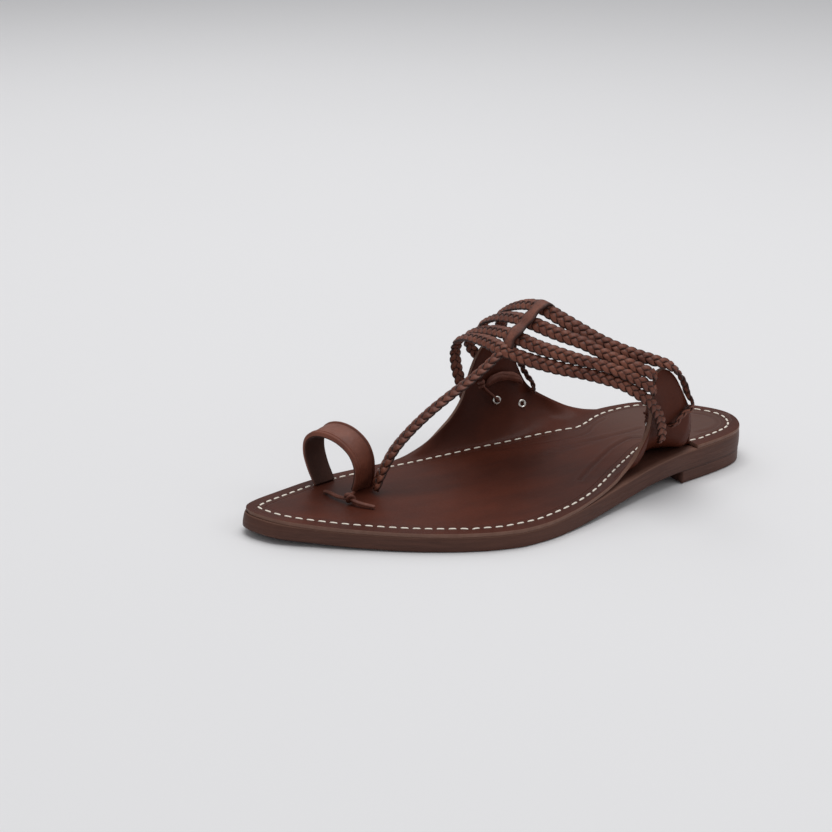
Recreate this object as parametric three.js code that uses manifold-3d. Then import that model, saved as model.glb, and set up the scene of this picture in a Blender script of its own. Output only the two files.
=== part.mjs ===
// Kolhapuri sandal, left shoe, in millimetres, +Z up.
// The toe points along -Y, the heel along +Y and the outer (little toe) side along +X.
// Shapes are worked out in the sole's own coordinates: u runs from the heel (0)
// to the toe (LENGTH), v runs across with the outer side positive, z is up.
import * as THREE from 'three';
import { mergeVertices } from 'three/addons/utils/BufferGeometryUtils.js';
import Module from 'manifold-3d';

const wasm = await Module();
wasm.setup();

// Sizes
const LENGTH = 280;            // sole, heel to toe
const FORE_HEIGHT = 9.8;       // top of the footbed at the ball
const HEEL_RISE = 9.7;         // how much higher the footbed is at the heel
const RISE_START = 165;        // where the footbed starts to rise, going back
const RISE_LENGTH = 115;
const TOE_SPRING = 3.5;
const SPRING_START = 200;
const LIFT_HEIGHT = 6.5;       // heel lift
const LIFT_END = 55;           // breast of the heel lift
const WAIST_START = 150;       // the outsole leaves the floor behind this
const GAP = 0.3;               // clearance between neighbouring pieces
const FOOTBED = 2.0;           // thickness of the stitched top leather
const EAR_EXTRA = 0.8;         // the ears are two layers, so thicker
const SEAM_INSET = 6;          // stitch line, in from the edge
const PLAIT_HEIGHT = 4.4;
const PLAIT_STEP = 3.35;       // half a plait, one strip to the next
const PLAIT_LEAD = 1.7;        // how far the middle of a chevron runs ahead
const SPINE_WIDTH = 9.4;
const SPINE_HEIGHT = 2.2;
const RING_THICK = 2.4;
const TOE_FLARE = { start: 258, run: 18, top: 0.6, foot: 2 };   // the toe's wall leans out
// the ear's cross section: share of the run that stays flat, and how far the face hangs plumb
const FOLD = { flat: 0.62, tightFlat: 0.25, plumb: 0.52, tightPlumb: 0.72, start: 92, run: 14 };
const EAR_EASE = { inner: 5, outer: 1 };   // length of each ear's start at the heel end
const LACE_RADIUS = 0.72;
const EYELET = { flange: 2.4, bore: 1.1, barrel: 1.6, lip: 0.6, depth: 1.3 };

// Tables
// the sole's edge: how far the inner and the outer edge lie from the axis
const OUTLINE = [
  { u: 0, inner: 5, outer: 5 },
  { u: 2, inner: -4, outer: 14 },
  { u: 6, inner: -11, outer: 21 },
  { u: 12, inner: -18.5, outer: 26.3 },
  { u: 20, inner: -26.5, outer: 29.8 },
  { u: 30, inner: -33, outer: 32.6 },
  { u: 40, inner: -35.6, outer: 34.8 },
  { u: 52, inner: -36, outer: 37 },
  { u: 65, inner: -35.6, outer: 40.2 },
  { u: 80, inner: -35.2, outer: 44 },
  { u: 95, inner: -35.6, outer: 48.8 },
  { u: 110, inner: -36.6, outer: 53.4 },
  { u: 125, inner: -38.3, outer: 58.3 },
  { u: 140, inner: -40, outer: 62.6 },
  { u: 155, inner: -41.2, outer: 66 },
  { u: 168, inner: -41.4, outer: 67 },
  { u: 182, inner: -41, outer: 64.6 },
  { u: 196, inner: -40.6, outer: 59.6 },
  { u: 210, inner: -40.1, outer: 52.8 },
  { u: 224, inner: -38.6, outer: 44.6 },
  { u: 238, inner: -34.8, outer: 35.2 },
  { u: 250, inner: -30.2, outer: 26.6 },
  { u: 260, inner: -26, outer: 18.6 },
  { u: 268, inner: -22.4, outer: 11.4 },
  { u: 274, inner: -19, outer: 4.2 },
  { u: 278, inner: -15.6, outer: -3.2 },
  { u: 280, inner: -10.5, outer: -10.5 },
];
// where the ears start to curl up, beside the stitch line
const SEAM = [
  { u: 38, inner: -30, outer: 28.4 },
  { u: 45, inner: -30.6, outer: 28.6 },
  { u: 52, inner: -30, outer: 24.8 },
  { u: 60, inner: -28.9, outer: 20.4 },
  { u: 68, inner: -26.4, outer: 20.6 },
  { u: 76, inner: -22.6, outer: 24 },
  { u: 83, inner: -20.6, outer: 28.2 },
  { u: 90, inner: -22.8, outer: 32.4 },
  { u: 98, inner: -25.2, outer: 37.2 },
  { u: 108, inner: -27.6, outer: 43.6 },
  { u: 118, inner: -29.5, outer: 49.4 },
  { u: 128, inner: -31.8, outer: 53.8 },
  { u: 136, inner: -33.5, outer: 56.2 },
  { u: 148, inner: -34.9, outer: 58.8 },
  { u: 160, inner: -35.3, outer: 60.6 },
  { u: 175, inner: -34.7, outer: 60.2 },
  { u: 190, inner: -34.4, outer: 56 },
];
// upper edge of each ear: place across and height over the footbed
const EAR_INNER = [
  { u: 60, v: -36, rise: 0 },
  { u: 66, v: -37, rise: 1 },
  { u: 72, v: -38.4, rise: 2.8 },
  { u: 78, v: -40, rise: 5.4 },
  { u: 84, v: -41.4, rise: 9 },
  { u: 90, v: -42.4, rise: 13 },
  { u: 96, v: -43.2, rise: 17.6 },
  { u: 101.4, v: -43.7, rise: 23.4 },
  { u: 104.6, v: -44, rise: 29.4 },
  { u: 108.4, v: -44, rise: 38 },
  { u: 112.6, v: -44, rise: 45.4 },
  { u: 117, v: -44, rise: 50 },
  { u: 122, v: -44, rise: 52 },
  { u: 127, v: -44, rise: 51.6 },
  { u: 131, v: -44, rise: 48 },
  { u: 134.5, v: -44, rise: 41.6 },
  { u: 137.5, v: -44, rise: 33.6 },
  { u: 140, v: -43.8, rise: 26.6 },
  { u: 143.5, v: -43.5, rise: 21 },
  { u: 149, v: -43, rise: 15.4 },
  { u: 155, v: -42.6, rise: 11.2 },
  { u: 162, v: -42.1, rise: 7.4 },
  { u: 170, v: -41.6, rise: 4 },
  { u: 178, v: -41.2, rise: 1.4 },
  { u: 186, v: -40.9, rise: 0 },
];
const EAR_OUTER = [
  { u: 44.4, v: 35.6, rise: 0 },
  { u: 45.6, v: 28.8, rise: 0.4 },
  { u: 47.4, v: 30.6, rise: 3.6 },
  { u: 49.4, v: 32.6, rise: 7.5 },
  { u: 51.5, v: 35.2, rise: 11 },
  { u: 53.5, v: 37.7, rise: 14.6 },
  { u: 56.1, v: 40.7, rise: 20.4 },
  { u: 58.7, v: 42.6, rise: 26 },
  { u: 62.1, v: 43.4, rise: 32.2 },
  { u: 66.1, v: 43.9, rise: 39.4 },
  { u: 69, v: 44, rise: 44.4 },
  { u: 71.7, v: 44, rise: 47.8 },
  { u: 74.6, v: 44, rise: 50 },
  { u: 78, v: 44, rise: 51.2 },
  { u: 80.6, v: 44, rise: 50.4 },
  { u: 81.8, v: 44, rise: 47 },
  { u: 82.3, v: 43.8, rise: 37 },
  { u: 82.8, v: 43.6, rise: 27 },
  { u: 84, v: 43.8, rise: 21.5 },
  { u: 86, v: 44, rise: 17 },
  { u: 90, v: 44.6, rise: 11.6 },
  { u: 94, v: 45.4, rise: 7.4 },
  { u: 99, v: 47, rise: 4.2 },
  { u: 106, v: 50.6, rise: 2.2 },
  { u: 114, v: 54, rise: 1.2 },
  { u: 124, v: 57.8, rise: 0.6 },
  { u: 136, v: 61.5, rise: 0 },
];
// middle line of each plait, from the inner ear over the instep to the outer ear.
// turn swings the plait's face round the ear's back edge, thick thins it there.
const PLAITS = {
  rear: [
    { u: 98.8, v: -39.8, z: 35.6, width: 3.6, turn: 1.8, thick: 0.7 },
    { u: 98.8, v: -41.6, z: 39.4, width: 4.4, turn: 1.5, thick: 0.75 },
    { u: 100.4, v: -44, z: 42.4, width: 5, turn: 1.1, thick: 0.8 },
    { u: 102.4, v: -44.8, z: 46, width: 5.6, turn: 1, thick: 0.85 },
    { u: 104.6, v: -45, z: 50.6, width: 6, turn: 1, thick: 0.9 },
    { u: 109.4, v: -45.6, z: 60.2, width: 6.4, turn: 0.7, thick: 0.95 },
    { u: 115, v: -46.4, z: 70.4, width: 6.8, turn: 0.3, thick: 1 },
    { u: 119.4, v: -42, z: 79.6, width: 7.2, turn: 0, thick: 1 },
    { u: 121.8, v: -33, z: 85.8, width: 7.6, turn: 0, thick: 1 },
    { u: 122.2, v: -22, z: 91, width: 8, turn: 0, thick: 1 },
    { u: 121.4, v: -10, z: 94.6, width: 8.2, turn: 0, thick: 1 },
    { u: 119.6, v: 0, z: 95, width: 8.2, turn: 0, thick: 1 },
    { u: 115.6, v: 10, z: 91.8, width: 8.2, turn: 0, thick: 1 },
    { u: 109, v: 18, z: 87, width: 8.2, turn: 0, thick: 1 },
    { u: 101.7, v: 26, z: 82.2, width: 7.8, turn: 0, thick: 1 },
    { u: 94.3, v: 33, z: 78.6, width: 7.4, turn: 0, thick: 1 },
    { u: 86.4, v: 39, z: 75.6, width: 7, turn: 0, thick: 1 },
    { u: 80.2, v: 44.2, z: 73.6, width: 6.8, turn: 0.1, thick: 1 },
    { u: 74.8, v: 47.4, z: 71.6, width: 6.6, turn: 0.3, thick: 0.95 },
    { u: 70.2, v: 47.2, z: 68.2, width: 6.4, turn: 0.6, thick: 0.9 },
    { u: 66.2, v: 46.6, z: 63.6, width: 6.2, turn: 0.9, thick: 0.85 },
    { u: 62.8, v: 46, z: 58, width: 6, turn: 1, thick: 0.8 },
    { u: 60.8, v: 45.8, z: 53, width: 5.4, turn: 1, thick: 0.7 },
    { u: 58.6, v: 47.2, z: 49, width: 4.2, turn: 0.8, thick: 0.65 },
    { u: 60, v: 48, z: 46.2, width: 3.8, turn: 0.4, thick: 0.65 },
    { u: 62.8, v: 47, z: 44.2, width: 3.4, turn: 0.1, thick: 0.65 },
    { u: 65.2, v: 46.4, z: 41.6, width: 3.2, turn: 0, thick: 0.6 },
    { u: 67.4, v: 45.4, z: 38, width: 2.8, turn: 0, thick: 0.6 },
  ],
  second: [
    { u: 122.6, v: -49.6, z: 66.4, width: 6 },
    { u: 126, v: -48, z: 71.4, width: 7 },
    { u: 129.4, v: -42.6, z: 76.6, width: 7.2 },
    { u: 130.4, v: -34, z: 81.6, width: 7.6 },
    { u: 130.2, v: -22, z: 86.2, width: 8 },
    { u: 129.4, v: -10, z: 88.6, width: 8.2 },
    { u: 127.5, v: 0, z: 88.8, width: 8.2 },
    { u: 123.8, v: 9, z: 87.2, width: 8.2 },
    { u: 119, v: 17, z: 85.2, width: 8 },
    { u: 112, v: 26, z: 82.6, width: 7.6 },
    { u: 105.7, v: 34, z: 78.6, width: 7 },
    { u: 98.4, v: 40.6, z: 75.2, width: 6.8 },
    { u: 92, v: 45.2, z: 72.3, width: 6.8 },
    { u: 86.8, v: 48.6, z: 69.6, width: 6.6 },
    { u: 82.4, v: 50, z: 66.6, width: 5.6 },
  ],
  third: [
    { u: 131.4, v: -49.6, z: 60, width: 6 },
    { u: 134.6, v: -48.6, z: 66.2, width: 7 },
    { u: 137.4, v: -43.4, z: 71.8, width: 7.2 },
    { u: 138, v: -34, z: 76.6, width: 7.6 },
    { u: 137.2, v: -21, z: 80.2, width: 8 },
    { u: 136.3, v: -9, z: 82, width: 8.2 },
    { u: 135, v: 0, z: 81.8, width: 8.2 },
    { u: 130, v: 13, z: 79.6, width: 8.2 },
    { u: 124, v: 22, z: 77.8, width: 7.8 },
    { u: 116.9, v: 31, z: 76, width: 7 },
    { u: 109.3, v: 38.4, z: 74.1, width: 6.8 },
    { u: 100.9, v: 44.6, z: 70.8, width: 6.8 },
    { u: 93.9, v: 48.2, z: 66.9, width: 6.8 },
    { u: 87.2, v: 50.2, z: 62.5, width: 6.6 },
    { u: 82.4, v: 50.2, z: 58.6, width: 5.6 },
  ],
  front: [
    { u: 134.8, v: -49.6, z: 25, width: 4.6 },
    { u: 136, v: -49.6, z: 33, width: 5.6 },
    { u: 138.4, v: -49.6, z: 42, width: 6.6 },
    { u: 141.4, v: -49.6, z: 52, width: 7 },
    { u: 142.8, v: -48.8, z: 61, width: 7 },
    { u: 143.6, v: -43.8, z: 69, width: 7.2 },
    { u: 144, v: -35, z: 73.6, width: 7.6 },
    { u: 143.4, v: -24, z: 75.8, width: 8 },
    { u: 143.1, v: -12, z: 76.8, width: 8.2 },
    { u: 142.4, v: 0, z: 76.2, width: 8.2 },
    { u: 137, v: 9, z: 74, width: 8.2 },
    { u: 131.6, v: 18, z: 72.7, width: 8 },
    { u: 125.1, v: 26, z: 71.3, width: 7.6 },
    { u: 117.8, v: 34, z: 70.2, width: 7 },
    { u: 109.5, v: 40.6, z: 68.1, width: 6.8 },
    { u: 101.2, v: 46, z: 65, width: 6.8 },
    { u: 93.4, v: 49.6, z: 59.8, width: 6.8 },
    { u: 88, v: 50.4, z: 55.4, width: 6.8 },
    { u: 83.6, v: 49.9, z: 50.6, width: 6.8 },
    { u: 79.6, v: 48.6, z: 44.4, width: 6.6 },
    { u: 77, v: 46.9, z: 38, width: 6.2 },
    { u: 75.2, v: 45.2, z: 32, width: 5 },
  ],
};
const THONG = [
  { u: 212.8, v: -5.4, z: 11.6, width: 7.6 },
  { u: 211.2, v: -5.5, z: 16, width: 8.2 },
  { u: 207.2, v: -5.9, z: 23, width: 8.6 },
  { u: 201.6, v: -5.9, z: 31.4, width: 8.8 },
  { u: 192.6, v: -5.4, z: 40.2, width: 8.8 },
  { u: 182, v: -4.2, z: 48.8, width: 8.8 },
  { u: 171, v: -3.2, z: 56, width: 8.6 },
  { u: 160.4, v: -2, z: 62.6, width: 8.4 },
  { u: 151.4, v: -1, z: 69, width: 8 },
  { u: 146, v: -0.4, z: 73.4, width: 7.4 },
  { u: 143.2, v: 0, z: 75, width: 6.6 },
];
const SPINE = [
  { u: 140, v: 0, z: 77.6 },
  { u: 138.4, v: 0, z: 81.6 },
  { u: 135.6, v: 0, z: 84.8 },
  { u: 131.2, v: 0, z: 88 },
  { u: 127.6, v: 0, z: 91.6 },
  { u: 123.6, v: 0, z: 95.2 },
  { u: 119.4, v: 0, z: 97.8 },
  { u: 115.4, v: -0.4, z: 96 },
  { u: 114.6, v: -0.8, z: 92.4 },
];
// front and rear edge of the toe ring, from the inner leg over the toe to the outer leg
const RING = [
  { uf: 236, vf: -28.4, zf: 0, ur: 223.6, vr: -32.2, zr: 0 },
  { uf: 238.4, vf: -31.4, zf: 9, ur: 225.6, vr: -36, zr: 9 },
  { uf: 239.6, vf: -33, zf: 17, ur: 226.6, vr: -38, zr: 18 },
  { uf: 239.4, vf: -31.6, zf: 24, ur: 226.4, vr: -36.4, zr: 26 },
  { uf: 237.6, vf: -26.6, zf: 28.6, ur: 224.8, vr: -31, zr: 31.4 },
  { uf: 234.4, vf: -18.6, zf: 30.2, ur: 221.8, vr: -22.8, zr: 33.8 },
  { uf: 230.6, vf: -10.6, zf: 28.4, ur: 218, vr: -15, zr: 32.2 },
  { uf: 227, vf: -4.6, zf: 23.4, ur: 214.4, vr: -9.6, zr: 27 },
  { uf: 224.6, vf: -3.2, zf: 16.4, ur: 211.8, vr: -8.8, zr: 19.6 },
  { uf: 223, vf: -6.6, zf: 8, ur: 209.8, vr: -11.6, zr: 9.6 },
  { uf: 222, vf: -12, zf: 0, ur: 208.4, vr: -16.6, zr: 0 },
];
const EYELETS = {
  inner_front: { side: 'inner', u: 121.8, z: 33.4 },
  inner_rear: { side: 'inner', u: 105.8, z: 28.6 },
  outer_front: { side: 'outer', u: 78.5, z: 37.4 },
  outer_rear: { side: 'outer', u: 71, z: 38.4 },
};
// folded leather roll on the inner face of each ear: along and height of its middle line
const ROLL = { half: 1.6, high: 2.6, count: 14, sides: 7 };
const ROLLS = {
  inner: [
    { u: 129, z: 43.2 },
    { u: 125, z: 45.4 },
    { u: 120, z: 46.4 },
    { u: 114, z: 45.6 },
    { u: 109, z: 43.4 },
    { u: 105.4, z: 40.6 },
  ],
  outer: [
    { u: 80.4, z: 44.4 },
    { u: 77.6, z: 46.6 },
    { u: 73.6, z: 47.6 },
    { u: 69.4, z: 46.6 },
    { u: 66.4, z: 44.6 },
  ],
};
// lace of each ear: its knot in front of the roll, and where it bends down to the eyelet
const EAR_LACES = {
  inner: { knot: { u: 132.6, z: 44.6, lift: 4.6 }, bend: { u: 127.8, z: 39.6, lift: 2.6 } },
  outer: { knot: { u: 84, z: 42.2, lift: 5 }, bend: { u: 81.4, z: 40, lift: 3.6 } },
};

// Curves
const clamp = (x, a, b) => Math.min(b, Math.max(a, x));
const smooth = (x) => clamp(x, 0, 1) ** 2 * (3 - 2 * clamp(x, 0, 1));
const mix = (a, b, t) => a + (b - a) * t;
const place = (u, v, z) => new THREE.Vector3(v, LENGTH / 2 - u, z);

// monotone cubic through the rows of a table
function follow(rows, by, key, x) {
  const n = rows.length;
  if (x <= by(rows[0])) return rows[0][key];
  if (x >= by(rows[n - 1])) return rows[n - 1][key];
  let i = 0;
  while (by(rows[i + 1]) < x) i++;
  const slope = (k) => (rows[k + 1][key] - rows[k][key]) / (by(rows[k + 1]) - by(rows[k]));
  const tangent = (k) => {
    if (k === 0) return slope(0);
    if (k === n - 1) return slope(n - 2);
    const a = slope(k - 1);
    const b = slope(k);
    return a * b <= 0 ? 0 : 2 * a * b / (a + b);
  };
  const h = by(rows[i + 1]) - by(rows[i]);
  const t = (x - by(rows[i])) / h;
  const t2 = t * t;
  const t3 = t2 * t;
  return (2 * t3 - 3 * t2 + 1) * rows[i][key] + (t3 - 2 * t2 + t) * h * tangent(i)
    + (3 * t2 - 2 * t3) * rows[i + 1][key] + (t3 - t2) * h * tangent(i + 1);
}
const sweepAngle = (u) => Math.acos(clamp(1 - 2 * u / LENGTH, -1, 1));
const edge = (u, side) => follow(OUTLINE, (r) => sweepAngle(r.u), side, sweepAngle(u));
const springShare = (u) => clamp((u - SPRING_START) / (LENGTH - SPRING_START), 0, 1.2);
const spring = (u) => TOE_SPRING * springShare(u) ** 2;
const topHeight = (u) => FORE_HEIGHT + HEEL_RISE * smooth((RISE_START - u) / RISE_LENGTH) + spring(u);
const waist = (u) => smooth((WAIST_START - u) / (WAIST_START - LIFT_END - 3));
const underside = (u) => (LIFT_HEIGHT + GAP) * waist(u) + spring(u);

function seam(u, side) {
  const lo = SEAM[0].u;
  const hi = SEAM[SEAM.length - 1].u;
  const inset = Math.min(SEAM_INSET, 0.42 * (edge(u, 'outer') - edge(u, 'inner')));
  const plain = edge(u, side) + (side === 'inner' ? inset : -inset);
  if (u <= lo - 6 || u >= hi + 10) return plain;
  const share = Math.min(smooth((u - lo + 6) / 6), smooth((hi + 10 - u) / 10));
  return mix(plain, follow(SEAM, (r) => r.u, side, clamp(u, lo, hi)), share);
}
function earEdge(u, side) {
  const rows = side === 'inner' ? EAR_INNER : EAR_OUTER;
  const lo = rows[0].u;
  const hi = rows[rows.length - 1].u;
  if (u <= lo || u >= hi) return { v: edge(u, side), rise: 0 };
  const share = Math.min(smooth((u - lo) / EAR_EASE[side]), smooth((hi - u) / 12));
  return {
    v: mix(edge(u, side), follow(rows, (r) => r.u, 'v', u), share),
    rise: follow(rows, (r) => r.u, 'rise', u),
  };
}
// upper face of the footbed from the stitch line (t = 0) out to the edge (t = 1)
function curl(u, side, t) {
  const out = side === 'inner' ? -1 : 1;
  const v0 = seam(u, side);
  const z0 = topHeight(u);
  const top = earEdge(u, side);
  const run = Math.abs(top.v - v0);
  const tight = side === 'outer' ? smooth((FOLD.start - u) / FOLD.run) : 0;
  const turn = smooth(top.rise / 14) * 1.5;
  const hang = Math.hypot(run, top.rise);
  const first = v0 + out * run * mix(FOLD.flat, FOLD.tightFlat, tight);
  const second = {
    v: top.v - out * Math.cos(turn) * hang * mix(0.42, 0.6, tight),
    z: z0 + top.rise - (top.rise > 0 ? Math.sin(turn) * hang * mix(FOLD.plumb, FOLD.tightPlumb, tight) : 0),
  };
  const a = (1 - t) ** 3;
  const b = 3 * t * (1 - t) ** 2;
  const c = 3 * t * t * (1 - t);
  const d = t ** 3;
  return {
    v: a * v0 + b * first + c * second.v + d * top.v,
    z: (a + b) * z0 + c * second.z + d * (z0 + top.rise),
  };
}
// point on the inner face of an ear at a height, with the direction into the shoe
function earFace(u, side, z) {
  let lo = 0;
  let hi = 1;
  for (let i = 0; i < 30; i++) {
    const t = (lo + hi) / 2;
    if (curl(u, side, t).z < z) lo = t;
    else hi = t;
  }
  const p = curl(u, side, lo);
  const below = curl(u, side, lo - 0.02);
  const above = curl(u, side, lo + 0.02);
  const slope = curl(u + 2, side, lo).v - curl(u - 2, side, lo).v;
  const up = new THREE.Vector3(above.v - below.v, 0, above.z - below.z).normalize();
  const along = new THREE.Vector3(slope, -4, 0).normalize();
  const normal = up.cross(along).normalize();
  if (normal.x * (side === 'inner' ? 1 : -1) < 0) normal.negate();
  return { point: place(u, p.v, p.z), normal };
}
const lifted = (seat, distance) => seat.point.clone().addScaledVector(seat.normal, distance);

// Solids
function geometryOf(points, faces) {
  const g = new THREE.BufferGeometry();
  const list = points.flatMap((p) => [p.x, p.y, p.z]);
  g.setAttribute('position', new THREE.Float32BufferAttribute(list, 3));
  g.setIndex(faces);
  return g;
}
// closed solid through rings of points that all hold the same number of points.
// strip caps join point k to its opposite, which suits flat wide rings.
function loft(rings, strip = false) {
  const n = rings[0].length;
  const points = rings.flat();
  const faces = [];
  const quad = (a, b, c, d) => {
    const short = points[a].distanceTo(points[c]) < points[b].distanceTo(points[d]);
    if (short) faces.push(a, b, c, a, c, d);
    else faces.push(a, b, d, b, c, d);
  };
  for (let i = 0; i + 1 < rings.length; i++) {
    for (let k = 0; k < n; k++) {
      const m = (k + 1) % n;
      quad(i * n + k, i * n + m, (i + 1) * n + m, (i + 1) * n + k);
    }
  }
  for (const [start, flip] of [[0, true], [(rings.length - 1) * n, false]]) {
    const add = (a, b, c) => {
      if (flip) faces.push(start + a, start + c, start + b);
      else faces.push(start + a, start + b, start + c);
    };
    if (strip) {
      for (let k = 0; k < n / 2 - 1; k++) {
        const across = n - 2 - k;
        if (k + 1 !== across) add(k, k + 1, across);
        add(k, across, across + 1);
      }
    } else {
      for (let k = 1; k + 1 < n; k++) add(0, k, k + 1);
    }
  }
  const g = geometryOf(points, faces);
  return volume(g) < 0 ? flipped(g) : g;
}
function volume(g) {
  const corner = (i) => new THREE.Vector3().fromBufferAttribute(g.attributes.position, g.index.getX(i));
  let sum = 0;
  for (let i = 0; i < g.index.count; i += 3) sum += corner(i).dot(corner(i + 1).cross(corner(i + 2))) / 6;
  return sum;
}
function flipped(g) {
  const x = g.index.array;
  for (let i = 0; i < x.length; i += 3) [x[i + 1], x[i + 2]] = [x[i + 2], x[i + 1]];
  return g;
}
function solid(geometry) {
  const g = geometry.index ? geometry.clone() : geometry;
  for (const name of Object.keys(g.attributes)) {
    if (name !== 'position') g.deleteAttribute(name);
  }
  const merged = mergeVertices(g, 1e-4);
  return new wasm.Manifold(new wasm.Mesh({
    numProp: 3,
    vertProperties: new Float32Array(merged.attributes.position.array),
    triVerts: new Uint32Array(merged.index.array),
  }));
}
function unpack(manifold) {
  const mesh = manifold.getMesh();
  const g = new THREE.BufferGeometry();
  g.setAttribute('position', new THREE.BufferAttribute(new Float32Array(mesh.vertProperties), 3));
  g.setIndex(new THREE.BufferAttribute(new Uint32Array(mesh.triVerts), 1));
  return g;
}

// Sole
function stations(from, to, count) {
  const start = sweepAngle(from);
  const end = sweepAngle(to);
  const list = [];
  for (let i = 0; i <= count; i++) {
    list.push(LENGTH / 2 * (1 - Math.cos(mix(start, end, i / count))));
  }
  return list;
}
// a ring round the sole's outline, moved in by an inset that may depend on the place
function outlineRing(list, inset, height) {
  const at = (u, side) => new THREE.Vector2(u, edge(u, side));
  const reach = 0.4;
  const ring = [];
  for (const side of ['outer', 'inner']) {
    const order = side === 'outer' ? list : [...list].reverse();
    for (const u of order) {
      const ahead = at(Math.min(u + reach, LENGTH - 0.05), side);
      const run = ahead.sub(at(Math.max(u - reach, 0.05), side)).normalize();
      const inward = new THREE.Vector2(run.y, -run.x);
      if (side === 'inner') inward.negate();
      const q = at(u, side).addScaledVector(inward, inset(u));
      ring.push(place(q.x, q.y, height(Math.min(q.x, LENGTH))));
    }
  }
  return ring;
}
function outsole() {
  const list = stations(0.35, LENGTH - 0.3, 44);
  const top = (u) => topHeight(u) - FOOTBED - GAP * 1.3;
  const flare = (u, share) => {
    const near = smooth((u - TOE_FLARE.start) / TOE_FLARE.run);
    return near * mix(TOE_FLARE.foot, TOE_FLARE.top, share);
  };
  // share of the wall's height, and how far in from the sole's edge it lies
  const wall = [
    { share: 0, inset: 0.9 },
    { share: 0.07, inset: 0.1 },
    { share: 0.34, inset: -0.3 },
    { share: 0.4, inset: 0.1 },
    { share: 0.46, inset: -0.3 },
    { share: 0.8, inset: -0.3 },
    { share: 1, inset: 0 },
  ];
  return loft(wall.map(({ share, inset }) => outlineRing(
    list,
    (u) => inset - flare(u, share),
    (u) => mix(underside(u), top(u), share),
  )), true);
}
function heelLift() {
  const list = stations(0.35, LIFT_END, 11);
  const wall = [
    { z: 0, inset: 1.2 },
    { z: 0.6, inset: 0.5 },
    { z: LIFT_HEIGHT * 0.5, inset: 0.3 },
    { z: LIFT_HEIGHT, inset: 0.6 },
  ];
  return loft(wall.map(({ z, inset }) => outlineRing(list, () => inset, () => z)), true);
}
// cross sections of the footbed, closer together where the ears rise
const FOOTBED_SECTIONS = [
  44.4, 45.4, 47.4, 50, 53, 56, 59, 62, 65, 68, 71, 74.4, 78, 80.4, 81.6, 82.3, 83, 84.4, 87, 90, 93, 96,
  99, 101.8, 104.4, 106.6, 109, 112, 115, 118.5, 122, 125, 128, 130.5, 132.5, 135, 138, 142, 147, 152,
  158, 165, 172, 180, 188,
];
const EAR_SHARES = [1, 0.8, 0.55, 0.28, 0];
function footbedSection(u) {
  const ear = (side) => EAR_SHARES.map((t) => ({
    ...curl(u, side, t),
    extra: t * smooth(earEdge(u, side).rise / 12),
  }));
  const flat = [0.3, 0.7].map((share) => ({
    v: mix(seam(u, 'inner'), seam(u, 'outer'), share),
    z: topHeight(u),
    extra: 0,
  }));
  const upper = [...ear('inner'), ...flat, ...ear('outer').reverse()];
  const lower = upper.map((p, i) => {
    const before = upper[Math.max(i - 1, 0)];
    const after = upper[Math.min(i + 1, upper.length - 1)];
    const run = new THREE.Vector2(after.v - before.v, after.z - before.z).normalize();
    const thick = FOOTBED + EAR_EXTRA * p.extra;
    return { v: p.v + run.y * thick, z: p.z - run.x * thick };
  });
  return [...upper, ...lower.reverse()].map((p) => place(u, p.v, p.z));
}
function footbed() {
  const list = [...stations(0.35, 42.5, 8), ...FOOTBED_SECTIONS, ...stations(196, LENGTH - 0.3, 13)];
  let body = solid(loft(list.map(footbedSection), true));
  for (const row of Object.values(EYELETS)) {
    const seat = earFace(row.u, row.side, row.z);
    const width = EYELET.barrel + GAP;
    const hole = new THREE.CylinderGeometry(width, width, (EYELET.depth + GAP) * 2, 12);
    body = body.subtract(solid(seated(hole, seat)));
  }
  return unpack(body);
}
// a shape made upright at the origin, turned and moved onto a place on an ear
function seated(geometry, seat) {
  const up = new THREE.Vector3(0, 1, 0);
  geometry.applyQuaternion(new THREE.Quaternion().setFromUnitVectors(up, seat.normal));
  return geometry.translate(seat.point.x, seat.point.y, seat.point.z);
}

// Plaits
// frames along a path: position, tangent, outward and side directions
function frames(rows, step, hint) {
  const points = rows.map((row) => place(row.u, row.v, row.z));
  const path = new THREE.CatmullRomCurve3(points, false, 'centripetal');
  const count = Math.max(4, Math.round(path.getLength() / step));
  const list = [];
  for (let i = 0; i <= count; i++) {
    const share = i / count;
    const p = path.getPointAt(share);
    const tangent = path.getTangentAt(share);
    const t = path.getUtoTmapping(share) * (rows.length - 1);
    const k = Math.min(Math.floor(t), rows.length - 2);
    const row = {};
    for (const key of Object.keys(rows[0])) row[key] = mix(rows[k][key], rows[k + 1][key], t - k);
    const away = hint(p, row);
    const out = away.addScaledVector(tangent, -away.dot(tangent)).normalize();
    const side = new THREE.Vector3().crossVectors(tangent, out).normalize();
    list.push({ p, tangent, out, side, row });
  }
  return list;
}
// the direction out of the foot, anywhere on the instep, swung to the heel by the row's turn
function outOfFoot(p, row) {
  const turn = row.turn ?? 0;
  const crest = clamp((p.z - 30) / 45, 0, 1);
  const lean = 0.8 * crest * clamp(1.5 - Math.abs(p.x) / 36, 0.15, 1);
  return new THREE.Vector3(
    clamp((p.x - 1) / 26, -1.8, 1.8) * (1 - turn),
    1.7 * turn - lean * (1 - turn),
    0.15 + 0.85 * crest,
  );
}
const upThong = () => new THREE.Vector3(0, -1, 1);
const spineOut = (p) => new THREE.Vector3(0, -0.75 + smooth((p.y - 17) / 8) * 2.2, 1);
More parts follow.
